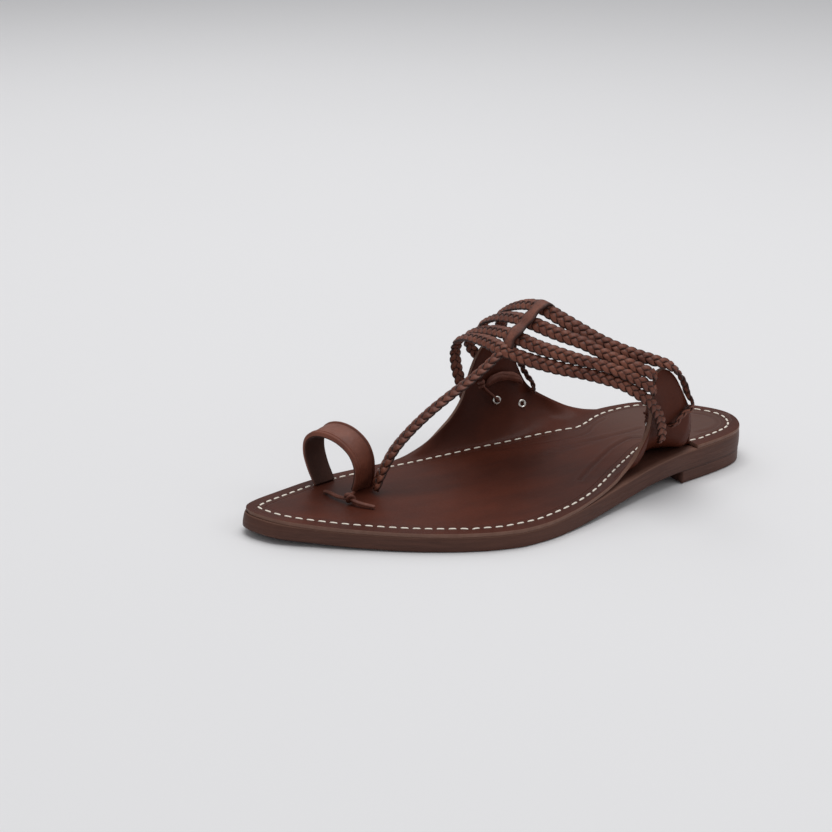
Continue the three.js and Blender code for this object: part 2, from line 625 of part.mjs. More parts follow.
// three strips worked over each other: two columns of raised chevrons
const STRAND = [
  { a: -0.5, b: 0.02, lift: 0 },
  { a: -0.27, b: 0.5, lift: 1 },
  { a: 0, b: 0.3, lift: 0 },
  { a: 0.27, b: 0.5, lift: -1 },
  { a: 0.5, b: 0.02, lift: 0 },
  { a: 0.26, b: -0.46, lift: 0 },
  { a: -0.26, b: -0.46, lift: 0 },
];
const STRAND_LIFT = 0.42;
function plait(rows, hint, height = PLAIT_HEIGHT) {
  const rings = frames(rows, PLAIT_STEP, hint).map((f, i, all) => {
    const end = i === 0 || i === all.length - 1;
    const wave = i % 2 ? 1 : -1;
    const full = f.row.thick ?? 1;
    return STRAND.map(({ a, b, lift }) => {
      const across = a * f.row.width * (end ? 0.82 : 1);
      const up = end ? b * height * full * 0.8 : (b * height + lift * wave * STRAND_LIFT) * full;
      const lead = end ? 0 : PLAIT_LEAD * (0.5 - Math.abs(a) * 2);
      return f.p.clone()
        .addScaledVector(f.side, across)
        .addScaledVector(f.out, up)
        .addScaledVector(f.tangent, lead);
    });
  });
  return loft(rings);
}
const STRIP = [
  { a: -0.5, b: -0.5 },
  { a: 0.5, b: -0.5 },
  { a: 0.5, b: 0.25 },
  { a: 0.3, b: 0.5 },
  { a: -0.3, b: 0.5 },
  { a: -0.5, b: 0.25 },
];
function strip(rows, hint, width, height) {
  return loft(frames(rows, PLAIT_STEP, hint).map((f) => STRIP.map(({ a, b }) => f.p.clone()
    .addScaledVector(f.side, a * width)
    .addScaledVector(f.out, b * height))));
}
function upper() {
  let body = solid(plait(PLAITS.front, outOfFoot));
  for (const name of ['third', 'second', 'rear']) {
    body = body.add(solid(plait(PLAITS[name], outOfFoot)));
  }
  body = body.add(solid(plait(THONG, upThong, PLAIT_HEIGHT * 1.05)));
  body = body.add(solid(strip(SPINE, spineOut, SPINE_WIDTH, SPINE_HEIGHT)));
  return unpack(body);
}

// Toe ring
// the band's cross section from back to front: raised cords along both edges, a low crown between
const BAND = [
  { across: 0, out: 0 },
  { across: 0, out: 1.25 },
  { across: 0.09, out: 1.5 },
  { across: 0.18, out: 1.05 },
  { across: 0.5, out: 1.25 },
  { across: 0.82, out: 1.05 },
  { across: 0.91, out: 1.5 },
  { across: 1, out: 1.25 },
  { across: 1, out: 0 },
];
function toeRing() {
  const base = (u) => topHeight(u) + GAP;
  const smoothLine = (points) => new THREE.CatmullRomCurve3(points, false, 'centripetal');
  const front = smoothLine(RING.map((r) => place(r.uf, r.vf, base(r.uf) + r.zf)));
  const rear = smoothLine(RING.map((r) => place(r.ur, r.vr, base(r.ur) + r.zr)));
  const middle = place(224, -18, 26);
  const count = 22;
  const rings = [];
  for (let i = 0; i <= count; i++) {
    const f = front.getPoint(i / count);
    const r = rear.getPoint(i / count);
    const along = front.getTangent(i / count).add(rear.getTangent(i / count)).normalize();
    if (i === 0) along.set(0, 0, 1);
    if (i === count) along.set(0, 0, -1);
    const across = f.clone().sub(r);
    const width = across.length();
    across.normalize();
    const out = new THREE.Vector3().crossVectors(across, along).normalize();
    if (out.dot(f.clone().sub(middle)) < 0) out.negate();
    rings.push(BAND.map((row) => r.clone()
      .addScaledVector(across, row.across * width)
      .addScaledVector(out, (row.out - 1) * RING_THICK * 0.8)));
  }
  return loft(rings);
}

// Small pieces
function eyelet(row) {
  const { flange, bore, barrel, lip, depth } = EYELET;
  const rest = GAP + 0.6;
  const profile = [
    [bore, -depth],
    [barrel, -depth],
    [barrel, rest],
    [flange, rest],
    [flange - 0.35, rest + lip],
    [bore, rest + lip * 0.7],
    [bore, -depth],
  ];
  const g = new THREE.LatheGeometry(profile.map(([x, y]) => new THREE.Vector2(x, y)), 12);
  return unpack(solid(seated(g, earFace(row.u, row.side, row.z))));
}
function cordOf(points, radius, sides = 6) {
  const path = new THREE.CatmullRomCurve3(points, false, 'centripetal');
  const count = Math.max(3, Math.round(path.getLength() / (radius * 2.2)));
  const rings = [];
  let out = new THREE.Vector3(0.3, 0.2, 1);
  for (let i = 0; i <= count; i++) {
    const p = path.getPointAt(i / count);
    const tangent = path.getTangentAt(i / count);
    out = out.clone().addScaledVector(tangent, -out.dot(tangent)).normalize();
    const side = new THREE.Vector3().crossVectors(tangent, out);
    const ring = [];
    for (let k = 0; k < sides; k++) {
      const angle = k / sides * Math.PI * 2;
      ring.push(p.clone()
        .addScaledVector(side, Math.cos(angle) * radius)
        .addScaledVector(out, Math.sin(angle) * radius));
    }
    rings.push(ring);
  }
  return loft(rings);
}
// how far the middle of a roll lies off the ear
const rollLift = ROLL.half * 1.1 + GAP + 0.6;
// the roll: an oval cord that follows the ear's inner face, drawn in at both ends
function roll(side) {
  const rows = ROLLS[side];
  const by = (row) => -row.u;
  const rings = [];
  for (let i = 0; i <= ROLL.count; i++) {
    const u = mix(rows[0].u, rows[rows.length - 1].u, i / ROLL.count);
    const seat = earFace(u, side, follow(rows, by, 'z', -u));
    const end = i === 0 || i === ROLL.count ? 0.6 : 1;
    const size = end * (1 + 0.05 * Math.sin(i * 2.4));
    const centre = lifted(seat, rollLift);
    const ring = [];
    for (let k = 0; k < ROLL.sides; k++) {
      const angle = k / ROLL.sides * Math.PI * 2;
      ring.push(centre.clone()
        .addScaledVector(seat.normal, Math.cos(angle) * ROLL.half * size)
        .add(new THREE.Vector3(0, 0, Math.sin(angle) * ROLL.high * size)));
    }
    rings.push(ring);
  }
  return loft(rings);
}
// a few turns of lace round a middle, as a knot
function knotOf(middle, turns, count, offset, radius) {
  const points = [];
  for (let k = 0; k <= count; k++) {
    points.push(middle.clone().add(offset(k / count, k / count * Math.PI * turns)));
  }
  return solid(cordOf(points, radius));
}
// lace that comes out of the roll's front end, is knotted, and goes into the front eyelet
function earLace(side) {
  const eyeletRow = EYELETS[`${side}_front`];
  const { knot, bend } = EAR_LACES[side];
  const rollEnd = ROLLS[side][0];
  const eye = earFace(eyeletRow.u, side, eyeletRow.z);
  const start = lifted(earFace(rollEnd.u + GAP * 5, side, rollEnd.z), rollLift);
  const middle = lifted(earFace(knot.u, side, knot.z), knot.lift);
  const corner = lifted(earFace(bend.u, side, bend.z), bend.lift);
  const body = solid(cordOf([start, middle, corner, lifted(eye, 2.8), lifted(eye, 0.2)], LACE_RADIUS));
  const offset = (share, angle) => new THREE.Vector3(
    Math.cos(angle) * 1.25,
    Math.sin(angle) * 1.65,
    (share - 0.5) * 3,
  );
  return unpack(body.add(knotOf(middle, 2.6, 9, offset, 0.95)));
}
function toeLace() {
  const on = (u, v, rise) => place(u, v, topHeight(u) + rise);
  const knot = on(230.4, 1.4, 3);
  const long = [on(235.6, -17, 1.4), on(235.2, -12, 2.2), on(233.6, -6, 2), on(231.6, -1, 2.4), knot];
  const short = [knot, on(229, 5.4, 2.4), on(226, 9.4, 2), on(222.2, 13, 1.5)];
  const stub = [knot, on(227.4, -2.4, 3.6), on(224.6, -5.6, 2.2)];
  const offset = (share, angle) => new THREE.Vector3(
    (share - 0.5) * 5,
    Math.cos(angle) * 1.7,
    Math.sin(angle) * 1.65,
  );
  let body = knotOf(knot, 3.1, 12, offset, 1.05);
  for (const tail of [long, short, stub]) body = body.add(solid(cordOf(tail, 1.05)));
  return unpack(body);
}

// Assembly
const LEATHER = {
  footbed: { color: 0x4a2420, roughness: 0.42 },
  sole: { color: 0x3a2520, roughness: 0.55 },
  lift: { color: 0x33211c, roughness: 0.6 },
  plait: { color: 0x5b3024, roughness: 0.5 },
  ring: { color: 0x5a3026, roughness: 0.55 },
  lace: { color: 0x4d2b22, roughness: 0.6 },
  metal: { color: 0xd9d8d2, roughness: 0.3, metalness: 0.9 },
};
const sandal = new THREE.Group();
function add(name, geometry, look) {
  const g = geometry.toNonIndexed();
  g.computeVertexNormals();
  const material = new THREE.MeshStandardMaterial({ metalness: 0, ...LEATHER[look] });
  const mesh = new THREE.Mesh(g, material);
  mesh.name = name;
  sandal.add(mesh);
}
add('outsole', outsole(), 'sole');
add('heel_lift', heelLift(), 'lift');
add('footbed', footbed(), 'footbed');
add('braided_upper', upper(), 'plait');
add('toe_ring', toeRing(), 'ring');
for (const [name, row] of Object.entries(EYELETS)) add(`eyelet_${name}`, eyelet(row), 'metal');
for (const side of ['inner', 'outer']) {
  add(`rolled_band_${side}`, roll(side), 'lace');
  add(`ear_lace_${side}`, earLace(side), 'lace');
}
add('toe_lace', toeLace(), 'lace');

// the origin stands at the middle of the part's box, on the floor
const box = new THREE.Box3();
for (const mesh of sandal.children) box.expandByObject(mesh);
const centre = box.getCenter(new THREE.Vector3());
for (const mesh of sandal.children) mesh.geometry.translate(-centre.x, -centre.y, -box.min.z);

export default sandal;
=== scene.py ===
import math

import bpy
import numpy as np
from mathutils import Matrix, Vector


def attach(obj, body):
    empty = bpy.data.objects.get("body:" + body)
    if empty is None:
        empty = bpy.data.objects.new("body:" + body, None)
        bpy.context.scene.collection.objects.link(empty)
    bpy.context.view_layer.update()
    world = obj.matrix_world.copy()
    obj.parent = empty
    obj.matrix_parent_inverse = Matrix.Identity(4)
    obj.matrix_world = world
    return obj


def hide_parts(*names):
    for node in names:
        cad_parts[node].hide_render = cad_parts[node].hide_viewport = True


# Kolhapuri sandal, left shoe. Shapes are worked out in millimetres in the sole's own
# coordinates, heel to toe (along), inner to outer side (across) and height, and turned
# into the frame's metres at the end.
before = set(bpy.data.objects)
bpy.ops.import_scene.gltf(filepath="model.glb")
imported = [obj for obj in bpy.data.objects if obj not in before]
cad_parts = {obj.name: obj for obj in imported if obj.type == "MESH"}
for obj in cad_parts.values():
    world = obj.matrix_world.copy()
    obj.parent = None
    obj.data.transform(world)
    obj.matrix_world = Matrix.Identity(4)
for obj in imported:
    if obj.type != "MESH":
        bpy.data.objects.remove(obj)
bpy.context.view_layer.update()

sandal = {
    "length": 280.0,
    "foreHeight": 9.8,  # top of the footbed at the ball
    "heelRise": 9.7,
    "riseStart": 165.0,
    "riseLength": 115.0,
    "toeSpring": 3.5,
    "springStart": 200.0,
    "liftHeight": 6.5,
    "liftEnd": 55.0,
    "waistStart": 150.0,
    "footbedThick": 2.0,
    "gap": 0.3,
    "seamInset": 6.0,
    "toeFlare": (258.0, 18.0, 0.6, 2.0),  # start, run, lean at the top and at the floor
    "middle": (140.77, 7.47),  # middle of the part's box, along and across
}
# the sole's edge: along, inner edge, outer edge
outlineRows = np.array([
    (0, 5, 5), (2, -4, 14), (6, -11, 21), (12, -18.5, 26.3), (20, -26.5, 29.8), (30, -33, 32.6),
    (40, -35.6, 34.8), (52, -36, 37), (65, -35.6, 40.2), (80, -35.2, 44), (95, -35.6, 48.8),
    (110, -36.6, 53.4), (125, -38.3, 58.3), (140, -40, 62.6), (155, -41.2, 66), (168, -41.4, 67),
    (182, -41, 64.6), (196, -40.6, 59.6), (210, -40.1, 52.8), (224, -38.6, 44.6), (238, -34.8, 35.2),
    (250, -30.2, 26.6), (260, -26, 18.6), (268, -22.4, 11.4), (274, -19, 4.2), (278, -15.6, -3.2),
    (280, -10.5, -10.5),
], float)
# the stitch line beside the ears: along, inner line, outer line
seamRows = np.array([
    (38, -30, 28.4), (45, -30.6, 28.6), (52, -30, 24.8), (60, -28.9, 20.4), (68, -26.4, 20.6),
    (76, -22.6, 24), (83, -20.6, 28.2), (90, -22.8, 32.4), (98, -25.2, 37.2), (108, -27.6, 43.6),
    (118, -29.5, 49.4), (128, -31.8, 53.8), (136, -33.5, 56.2), (148, -34.9, 58.8), (160, -35.3, 60.6),
    (175, -34.7, 60.2), (190, -34.4, 56),
], float)
# upper edge of each ear: along, across, height over the footbed
earRows = {
    "inner": np.array([
        (60, -36, 0), (66, -37, 1), (72, -38.4, 2.8), (78, -40, 5.4), (84, -41.4, 9), (90, -42.4, 13),
        (96, -43.2, 17.6), (101.4, -43.7, 23.4), (104.6, -44, 29.4), (108.4, -44, 38),
        (112.6, -44, 45.4), (117, -44, 50), (122, -44, 52), (127, -44, 51.6), (131, -44, 48),
        (134.5, -44, 41.6), (137.5, -44, 33.6), (140, -43.8, 26.6), (143.5, -43.5, 21), (149, -43, 15.4),
        (155, -42.6, 11.2), (162, -42.1, 7.4), (170, -41.6, 4), (178, -41.2, 1.4), (186, -40.9, 0),
    ], float),
    "outer": np.array([
        (44.4, 35.6, 0), (45.6, 28.8, 0.4), (47.4, 30.6, 3.6), (49.4, 32.6, 7.5), (51.5, 35.2, 11),
        (53.5, 37.7, 14.6), (56.1, 40.7, 20.4), (58.7, 42.6, 26), (62.1, 43.4, 32.2), (66.1, 43.9, 39.4),
        (69, 44, 44.4), (71.7, 44, 47.8), (74.6, 44, 50), (78, 44, 51.2), (80.6, 44, 50.4),
        (81.8, 44, 47), (82.3, 43.8, 37), (82.8, 43.6, 27), (84, 43.8, 21.5), (86, 44, 17),
        (90, 44.6, 11.6), (94, 45.4, 7.4), (99, 47, 4.2), (106, 50.6, 2.2), (114, 54, 1.2),
        (124, 57.8, 0.6), (136, 61.5, 0),
    ], float),
}


def follow(x, knots, values):
    # monotone cubic through (knots, values)
    step = np.diff(knots)
    slope = np.diff(values) / step
    tangent = np.empty(len(knots))
    tangent[0], tangent[-1] = slope[0], slope[-1]
    product = slope[:-1] * slope[1:]
    total = np.where(product > 0, slope[:-1] + slope[1:], 1)
    tangent[1:-1] = np.where(product > 0, 2 * product / total, 0)
    i = np.clip(np.searchsorted(knots, x, "right") - 1, 0, len(knots) - 2)
    t = np.clip((x - knots[i]) / step[i], 0, 1)
    t2, t3 = t * t, t * t * t
    return ((2 * t3 - 3 * t2 + 1) * values[i] + (t3 - 2 * t2 + t) * step[i] * tangent[i]
            + (3 * t2 - 2 * t3) * values[i + 1] + (t3 - t2) * step[i] * tangent[i + 1])


def smooth(x):
    t = np.clip(x, 0, 1)
    return t * t * (3 - 2 * t)


def mix(a, b, share):
    return a + (b - a) * share


def sweepAngle(along):
    return np.arccos(np.clip(1 - 2 * along / sandal["length"], -1, 1))


def alongAt(angle):
    return sandal["length"] / 2 * (1 - np.cos(angle))


def edgeAt(along, side):
    column = 1 if side == "inner" else 2
    return follow(sweepAngle(along), sweepAngle(outlineRows[:, 0]), outlineRows[:, column])


def springAt(along):
    run = sandal["length"] - sandal["springStart"]
    return sandal["toeSpring"] * np.clip((along - sandal["springStart"]) / run, 0, 1.2) ** 2


def topAt(along):
    rise = smooth((sandal["riseStart"] - along) / sandal["riseLength"])
    return sandal["foreHeight"] + sandal["heelRise"] * rise + springAt(along)


def undersideAt(along):
    lift = sandal["liftHeight"] + sandal["gap"]
    run = sandal["waistStart"] - sandal["liftEnd"] - 3
    return lift * smooth((sandal["waistStart"] - along) / run) + springAt(along)


def seamShare(along):
    low, high = seamRows[0, 0], seamRows[-1, 0]
    return np.minimum(smooth((along - low + 6) / 6), smooth((high + 10 - along) / 10))


def seamAt(along, side):
    column = 1 if side == "inner" else 2
    sign = 1 if side == "inner" else -1
    width = edgeAt(along, "outer") - edgeAt(along, "inner")
    plain = edgeAt(along, side) + sign * np.minimum(sandal["seamInset"], 0.42 * width)
    return mix(plain, follow(along, seamRows[:, 0], seamRows[:, column]), seamShare(along))


def earEdge(along, side):
    # across and rise of the footbed's outer edge, which the ears lift
    rows = earRows[side]
    low, high = rows[0, 0], rows[-1, 0]
    ease = 5 if side == "inner" else 1
    share = np.minimum(smooth((along - low) / ease), smooth((high - along) / 12))
    across = mix(edgeAt(along, side), follow(along, rows[:, 0], rows[:, 1]), share)
    inside = (along > low) & (along < high)
    return across, np.where(inside, follow(along, rows[:, 0], rows[:, 2]), 0)


def curl(along, side, t):
    # upper face from the stitch line (t = 0) out to the edge (t = 1), a cubic in (across, height)
    out = -1 if side == "inner" else 1
    seam, base = seamAt(along, side), topAt(along)
    across, rise = earEdge(along, side)
    span = np.abs(across - seam)
    # the outer ear folds up tightly beside its stitches, the wing in front of it softly
    tight = smooth((92 - along) / 14) if side == "outer" else np.zeros_like(span)
    turn = smooth(rise / 14) * 1.5
    reach = np.hypot(span, rise)
    firstAcross = seam + out * span * mix(0.62, 0.25, tight)
    secondAcross = across - out * np.cos(turn) * reach * mix(0.42, 0.6, tight)
    secondHeight = base + rise - np.sin(turn) * reach * mix(0.52, 0.72, tight) * (rise > 0)
    a, b, c, d = (1 - t) ** 3, 3 * t * (1 - t) ** 2, 3 * t * t * (1 - t), t ** 3
    return (a * seam + b * firstAcross + c * secondAcross + d * across,
            a * base + b * base + c * secondHeight + d * (base + rise))


def earFace(along, side, height):
    # point on an ear's inner face at a height, and the direction into the shoe
    low, high = 0.0, 1.0
    for _ in range(30):
        t = (low + high) / 2
        if curl(along, side, t)[1] < height:
            low = t
        else:
            high = t
    across, z = curl(along, side, low)
    a, b = curl(along, side, low - 0.02), curl(along, side, low + 0.02)
    ahead, behind = curl(along + 2, side, low)[0], curl(along - 2, side, low)[0]
    up = np.array((0, b[0] - a[0], b[1] - a[1]), float)
    run = np.array((4, ahead - behind, 0), float)
    normal = np.cross(up, run)
    normal /= np.linalg.norm(normal)
    if normal[1] * (1 if side == "inner" else -1) < 0:
        normal = -normal
    return np.array((along, float(across), float(z))), normal


def place(points):
    # (along, across, height) in millimetres to the frame's metres
    points = np.asarray(points, float)
    x = points[..., 1] - sandal["middle"][1]
    y = sandal["middle"][0] - points[..., 0]
    return np.stack((x, y, points[..., 2]), -1) / 1000


def pathAt(rows, step):
    # centripetal Catmull-Rom line through the rows, at even steps of length
    rows = np.asarray(rows, float)
    ghosts = np.vstack((2 * rows[0] - rows[1], rows, 2 * rows[-1] - rows[-2]))
    knot = np.concatenate(([0], np.cumsum(np.linalg.norm(np.diff(ghosts[:, :3], axis=0), axis=1) ** 0.5)))
    points = []
    for k in range(1, len(ghosts) - 2):
        t = np.linspace(knot[k], knot[k + 1], 40, endpoint=False)[:, None]
        near, times = ghosts[k - 1:k + 3], knot[k - 1:k + 3]
        for gap in (1, 2):
            near = [((times[j + gap] - t) * near[j] + (t - times[j]) * near[j + 1])
                    / (times[j + gap] - times[j]) for j in range(4 - gap)]
        points.append(((times[2] - t) * near[0] + (t - times[1]) * near[1]) / (times[2] - times[1]))
    points = np.vstack(points + [rows[-1:]])
    run = np.concatenate(([0], np.cumsum(np.linalg.norm(np.diff(points[:, :3], axis=0), axis=1))))
    even = np.linspace(0, run[-1], int(run[-1] / step) + 1)
    return np.column_stack([np.interp(even, run, points[:, k]) for k in range(points.shape[1])]), even


def unit(vectors):
    return vectors / (np.linalg.norm(vectors, axis=-1)[..., None] + 1e-12)


def fullTurn(count):
    return np.linspace(0, 2 * math.pi, count, endpoint=False)


def squared(wave, power):
    # a sine or cosine flattened towards a box, for superellipse sections
    return np.sign(wave) * np.abs(wave) ** power


def sweep(line, side, out, across, above):
    # a section swept along a line. across and above hold points of the line by points of the section
    return line[:, None, :3] + side[:, None, :] * across[..., None] + out[:, None, :] * above[..., None]


def inwards(loop, middle):
    # unit normals in plan of a closed loop, towards its middle
    run = unit(np.roll(loop, -1, 0) - np.roll(loop, 1, 0))
    normal = np.stack((run[:, 1], -run[:, 0]), -1)
    return normal if ((middle - loop) * normal).sum() > 0 else -normal


def gridFaces(rows, cols, closeRows=False):
    # quads of a grid of points, closed round its columns, as an array of corner numbers
    r = np.arange(rows if closeRows else rows - 1)[:, None]
    c = np.arange(cols)[None, :]
    r2, c2 = (r + 1) % rows, (c + 1) % cols
    return np.stack((r * cols + c, r * cols + c2, r2 * cols + c2, r2 * cols + c), -1).reshape(-1, 4)


def signedVolume(points, faces):
    a, b, c, d = (points[faces[:, k]] for k in range(4))
    return (np.einsum("ij,ij->i", a, np.cross(b, c)) + np.einsum("ij,ij->i", a, np.cross(c, d))).sum()


def addPiece(name, grids, material, node, values=None, capped=True, closeRows=False):
    # one mesh of closed grids in millimetres, each turned so that its faces point outwards
    points, corners, caps, start = [], [], [], 0
    for grid in grids:
        rows, cols = grid.shape[:2]
        own = place(grid).reshape(-1, 3)
        quads = gridFaces(rows, cols, closeRows)
        ends = [list(range(cols))[::-1], list(range((rows - 1) * cols, rows * cols))] if capped else []
        if signedVolume(own, quads) < 0:
            quads = quads[:, ::-1]
            ends = [end[::-1] for end in ends]
        points += own.tolist()
        corners += (quads + start).tolist()
        caps += [[start + k for k in end] for end in ends]
        start += rows * cols
    mesh = bpy.data.meshes.new(name)
    mesh.from_pydata(points, [], corners + caps)
    for key, data in (values or {}).items():
        layer = mesh.attributes.new(key, "FLOAT", "POINT")
        layer.data.foreach_set("value", np.asarray(data, np.float32).ravel())
    mesh.polygons.foreach_set("use_smooth", np.ones(len(mesh.polygons), bool))
    mesh.materials.append(material)
    mesh.update()
    piece = bpy.data.objects.new(name, mesh)
    bpy.context.scene.collection.objects.link(piece)
    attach(piece, "root")
    if node:
        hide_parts(node)
    return piece


class Socket:
    # a shader socket that takes arithmetic, so masks are written as expressions
    def __init__(self, tree, link):
        self.tree, self.link = tree, link

    def maths(self, operation, *others):
        return self.node("ShaderNodeMath", {"operation": operation}, dict(enumerate((self, *others))))

    def __add__(self, other):
        return self.maths("ADD", other)

    def __sub__(self, other):
        return self.maths("SUBTRACT", other)

    def __rsub__(self, other):
        return (self * -1).maths("ADD", other)

    def __mul__(self, other):
        return self.maths("MULTIPLY", other)

    __radd__, __rmul__ = __add__, __mul__

    def smooth(self, low, high):
        return self.node("ShaderNodeMapRange", {"interpolation_type": "SMOOTHSTEP"},
                         {0: self, 1: low, 2: high, 3: 0.0, 4: 1.0})

    def node(self, kind, settings=None, inputs=None, output=0):
        # any other node: its settings first, then the values or links of its sockets
        node = self.tree.nodes.new(kind)
        for key, value in (settings or {}).items():
            setattr(node, key, value)
        for key, value in (inputs or {}).items():
            if isinstance(value, Socket):
                self.tree.links.new(value.link, node.inputs[key])
            else:
                node.inputs[key].default_value = value
        return Socket(self.tree, node.outputs[output])


class Finish:
    # one material: its Object coordinates, a Principled shader and its named sockets
    def __init__(self, name, **fixed):
        self.material = bpy.data.materials.new(name)
        self.material.use_nodes = True
        self.tree = self.material.node_tree
        self.shader = self.tree.nodes["Principled BSDF"]
        for key, value in fixed.items():
            self.shader.inputs[key.replace("_", " ")].default_value = value
        self.any = Socket(self.tree, None)
        self.where = self.any.node("ShaderNodeTexCoord", output=3)

    def noise(self, scale, detail=4, rough=0.6, stretch=None, turn=(0, 0, 0), distortion=0.0):
        where = self.where
        if stretch:
            where = self.any.node("ShaderNodeMapping", inputs={0: where, 2: turn, 3: stretch})
        return self.any.node("ShaderNodeTexNoise", inputs={
            0: where, "Scale": scale, "Detail": detail, "Roughness": rough, "Distortion": distortion})

    def cells(self, scale):
        return self.any.node("ShaderNodeTexVoronoi", inputs={0: self.where, "Scale": scale})

    def value(self, name):
        return self.any.node("ShaderNodeAttribute", {"attribute_name": name}, output=2)

    def colour(self, share, first, second):
        return self.any.node("ShaderNodeMix", {"data_type": "RGBA"}, {
            0: share, 6: first if isinstance(first, Socket) else (*first, 1),
            7: second if isinstance(second, Socket) else (*second, 1)}, output=2)

    def tint(self, share, colour):
        # the base colour so far, mixed towards another
        self.base = self.colour(share, self.base, colour)

    def bump(self, height, distance, strength=1.0, over=None):
        inputs = {"Height": height, "Distance": distance, "Strength": strength}
        if over is not None:
            inputs["Normal"] = over
        return self.any.node("ShaderNodeBump", inputs=inputs)

    def feed(self, **links):
        for key, value in links.items():
            self.tree.links.new(value.link, self.shader.inputs[key.replace("_", " ")])
        return self.material


print("sole")
soleLook = {
    "brown": (0.1, 0.041, 0.028),
    "dark": (0.034, 0.0125, 0.009),
    # worn: colour of the scuffs, and also of the painted highlight along the wall's top rim
    "worn": (0.2, 0.1, 0.07),
    "belly": 0.35,  # how far the wall swells, mm
    "foot": (1.0, 0.08),  # round foot of the wall: how far in, share of the height
    "liftFoot": (0.9, 0.12),
    "lip": 0.15,  # how far the wall draws in under the footbed
}


def soleFinish(look):
    finish = Finish("soleLeather", Specular_IOR_Level=0.2, Coat_Weight=0.06, Coat_Roughness=0.35)
    height = finish.value("wallShare")
    streaks = finish.noise(55, 5, stretch=(1, 1, 14))
    patches = finish.noise(24)
    fibres = finish.noise(420, 3, stretch=(1, 1, 5))
    finish.base = finish.colour(streaks.smooth(0.35, 0.7), look["dark"], look["brown"])
    finish.tint(patches.smooth(0.3, 0.75) * 0.35 + 0.5, look["brown"])
    # painted shade: the wall drawn darker along its foot, next to the floor
    wallFootShade = 1 - height.smooth(0.0, 0.14)
    finish.tint(wallFootShade * 0.75, look["dark"])
    # painted highlight: the wall drawn paler along its top rim
    rimHighlight = height.smooth(0.9, 0.97) * (0.35 + 0.5 * patches)
    finish.tint(rimHighlight, look["worn"])
    scuffs = finish.noise(130, 6, 0.7, stretch=(1, 1, 2.5)).smooth(0.62, 0.72)
    finish.tint(scuffs * 0.25, look["worn"])
    lines = (height * 26 + streaks * 0.8).maths("SINE").smooth(0.2, 1.0)
    relief = finish.bump(fibres * 0.5 + streaks * 0.6 + lines * 0.35, 0.00025, 0.6)
    return finish.feed(Base_Color=finish.base, Normal=relief, Roughness=0.42 + 0.25 * patches)


def outlineLoop(count):
    # closed line round the sole, heel to toe on the outer side and back, with inward normals
    angle = fullTurn(count)
    along = alongAt(angle)
    across = np.where(angle < math.pi, edgeAt(along, "outer"), edgeAt(along, "inner"))
    line = np.stack((along, across), -1)
    return line, inwards(line, np.array((sandal["length"] / 2, 8.0)))


def wallGrid(count, profile, bottom, top):
    # the sole's wall: each row of the profile is (inset, more inset at the foot, share of the height)
    line, normal = outlineLoop(count)
    start, run, leanTop, leanFoot = sandal["toeFlare"]
    flare = smooth((line[:, 0] - start) / run)
    rows = []
    clear = smooth((line[:, 0] - sandal["liftEnd"] + 2) / 6)  # the foot is round only in front of the lift
    for inset, foot, share in profile:
        lean = flare * mix(leanFoot, leanTop, min(1, share))
        ring = line + normal * (inset + foot * clear - lean)[:, None]
        low, high = bottom(ring[:, 0]), top(ring[:, 0])
        rows.append(np.column_stack((ring, low + (high - low) * share)))
    return np.array(rows)


def capRows(ring, height):
    # rings that close a flat end towards the line along its middle
    middle = ring.copy()
    middle[:, 1] = np.interp(ring[:, 0], outlineRows[:, 0], outlineRows[:, 1:].mean(1))
    rows = []
    for share in np.linspace(0, 1, 6)[1:]:
        step = mix(ring, middle, share)
        step[:, 2] = height(step[:, 0])
        rows.append(step)
    return rows


def outsolePiece(leather):
    top = lambda along: topAt(along) - sandal["footbedThick"] - 0.08
    # bellied wall with a rounded foot, from the tread up to the footbed
    foot, footShare = soleLook["foot"]
    shares = np.concatenate(([0, 0.004, 0.015, 0.035, 0.065, 0.1], np.linspace(0.16, 0.94, 16), [0.97, 1]))
    belly = soleLook["belly"] * np.sin(shares * math.pi) ** 0.7
    feet = foot * (1 - np.clip(shares / footShare, 0, 1)) ** 2.2
    insets = soleLook["lip"] * smooth((shares - 0.92) / 0.08) - belly
    wall = wallGrid(560, list(zip(insets, feet, shares)), undersideAt, top)
    below = capRows(wall[0], undersideAt)[::-1]
    above = capRows(wall[-1], top)
    grid = np.concatenate((np.array(below), wall, np.array(above)))
    share = np.concatenate((np.zeros(len(below)), shares, np.full(len(above), 0.8)))
    addPiece("outsole", [grid], leather, "outsole",
             {"wallShare": np.repeat(share, grid.shape[1])}, capped=False)


def liftPiece(leather):
    # the outsole's outline cut straight at the breast
    along = alongAt(np.linspace(0, sweepAngle(sandal["liftEnd"]), 90))
    outer = np.column_stack((along, edgeAt(along, "outer")))
    inner = np.column_stack((along, edgeAt(along, "inner")))[::-1]
    breast = np.linspace(outer[-1], inner[0], 24)[1:-1]
    loop = np.concatenate((outer, breast, inner[:-1]))
    normal = inwards(loop, np.array((28.0, 2.0)))
    foot, footShare = soleLook["liftFoot"]
    shares = np.array([0, 0.01, 0.04, 0.1, 0.2, 0.4, 0.6, 0.8, 0.95, 1])
    insets = foot * (1 - np.clip(shares / footShare, 0, 1)) ** 2 + 0.02
    height = sandal["liftHeight"] + sandal["gap"]
    rows = [np.column_stack((loop + normal * inset, np.full(len(loop), share * height)))
            for inset, share in zip(insets, shares)]
    centre = np.array((28.0, 1.0, 0.0))
    shrink = lambda ring, share: mix(ring, centre + (0, 0, ring[0, 2]), share)
    below = [shrink(rows[0], s) for s in (0.98, 0.7, 0.4, 0.15)]
    above = [shrink(rows[-1], s) for s in (0.15, 0.4, 0.7, 0.98)]
    grid = np.array(below + rows + above)
    share = np.concatenate((np.zeros(4), 0.1 + shares * 0.7, np.full(4, 0.8)))
    addPiece("heelLift", [grid], leather, "heel_lift",
             {"wallShare": np.repeat(share, grid.shape[1])}, capped=False)


soleLeather = soleFinish(soleLook)
outsolePiece(soleLeather)
liftPiece(soleLeather)

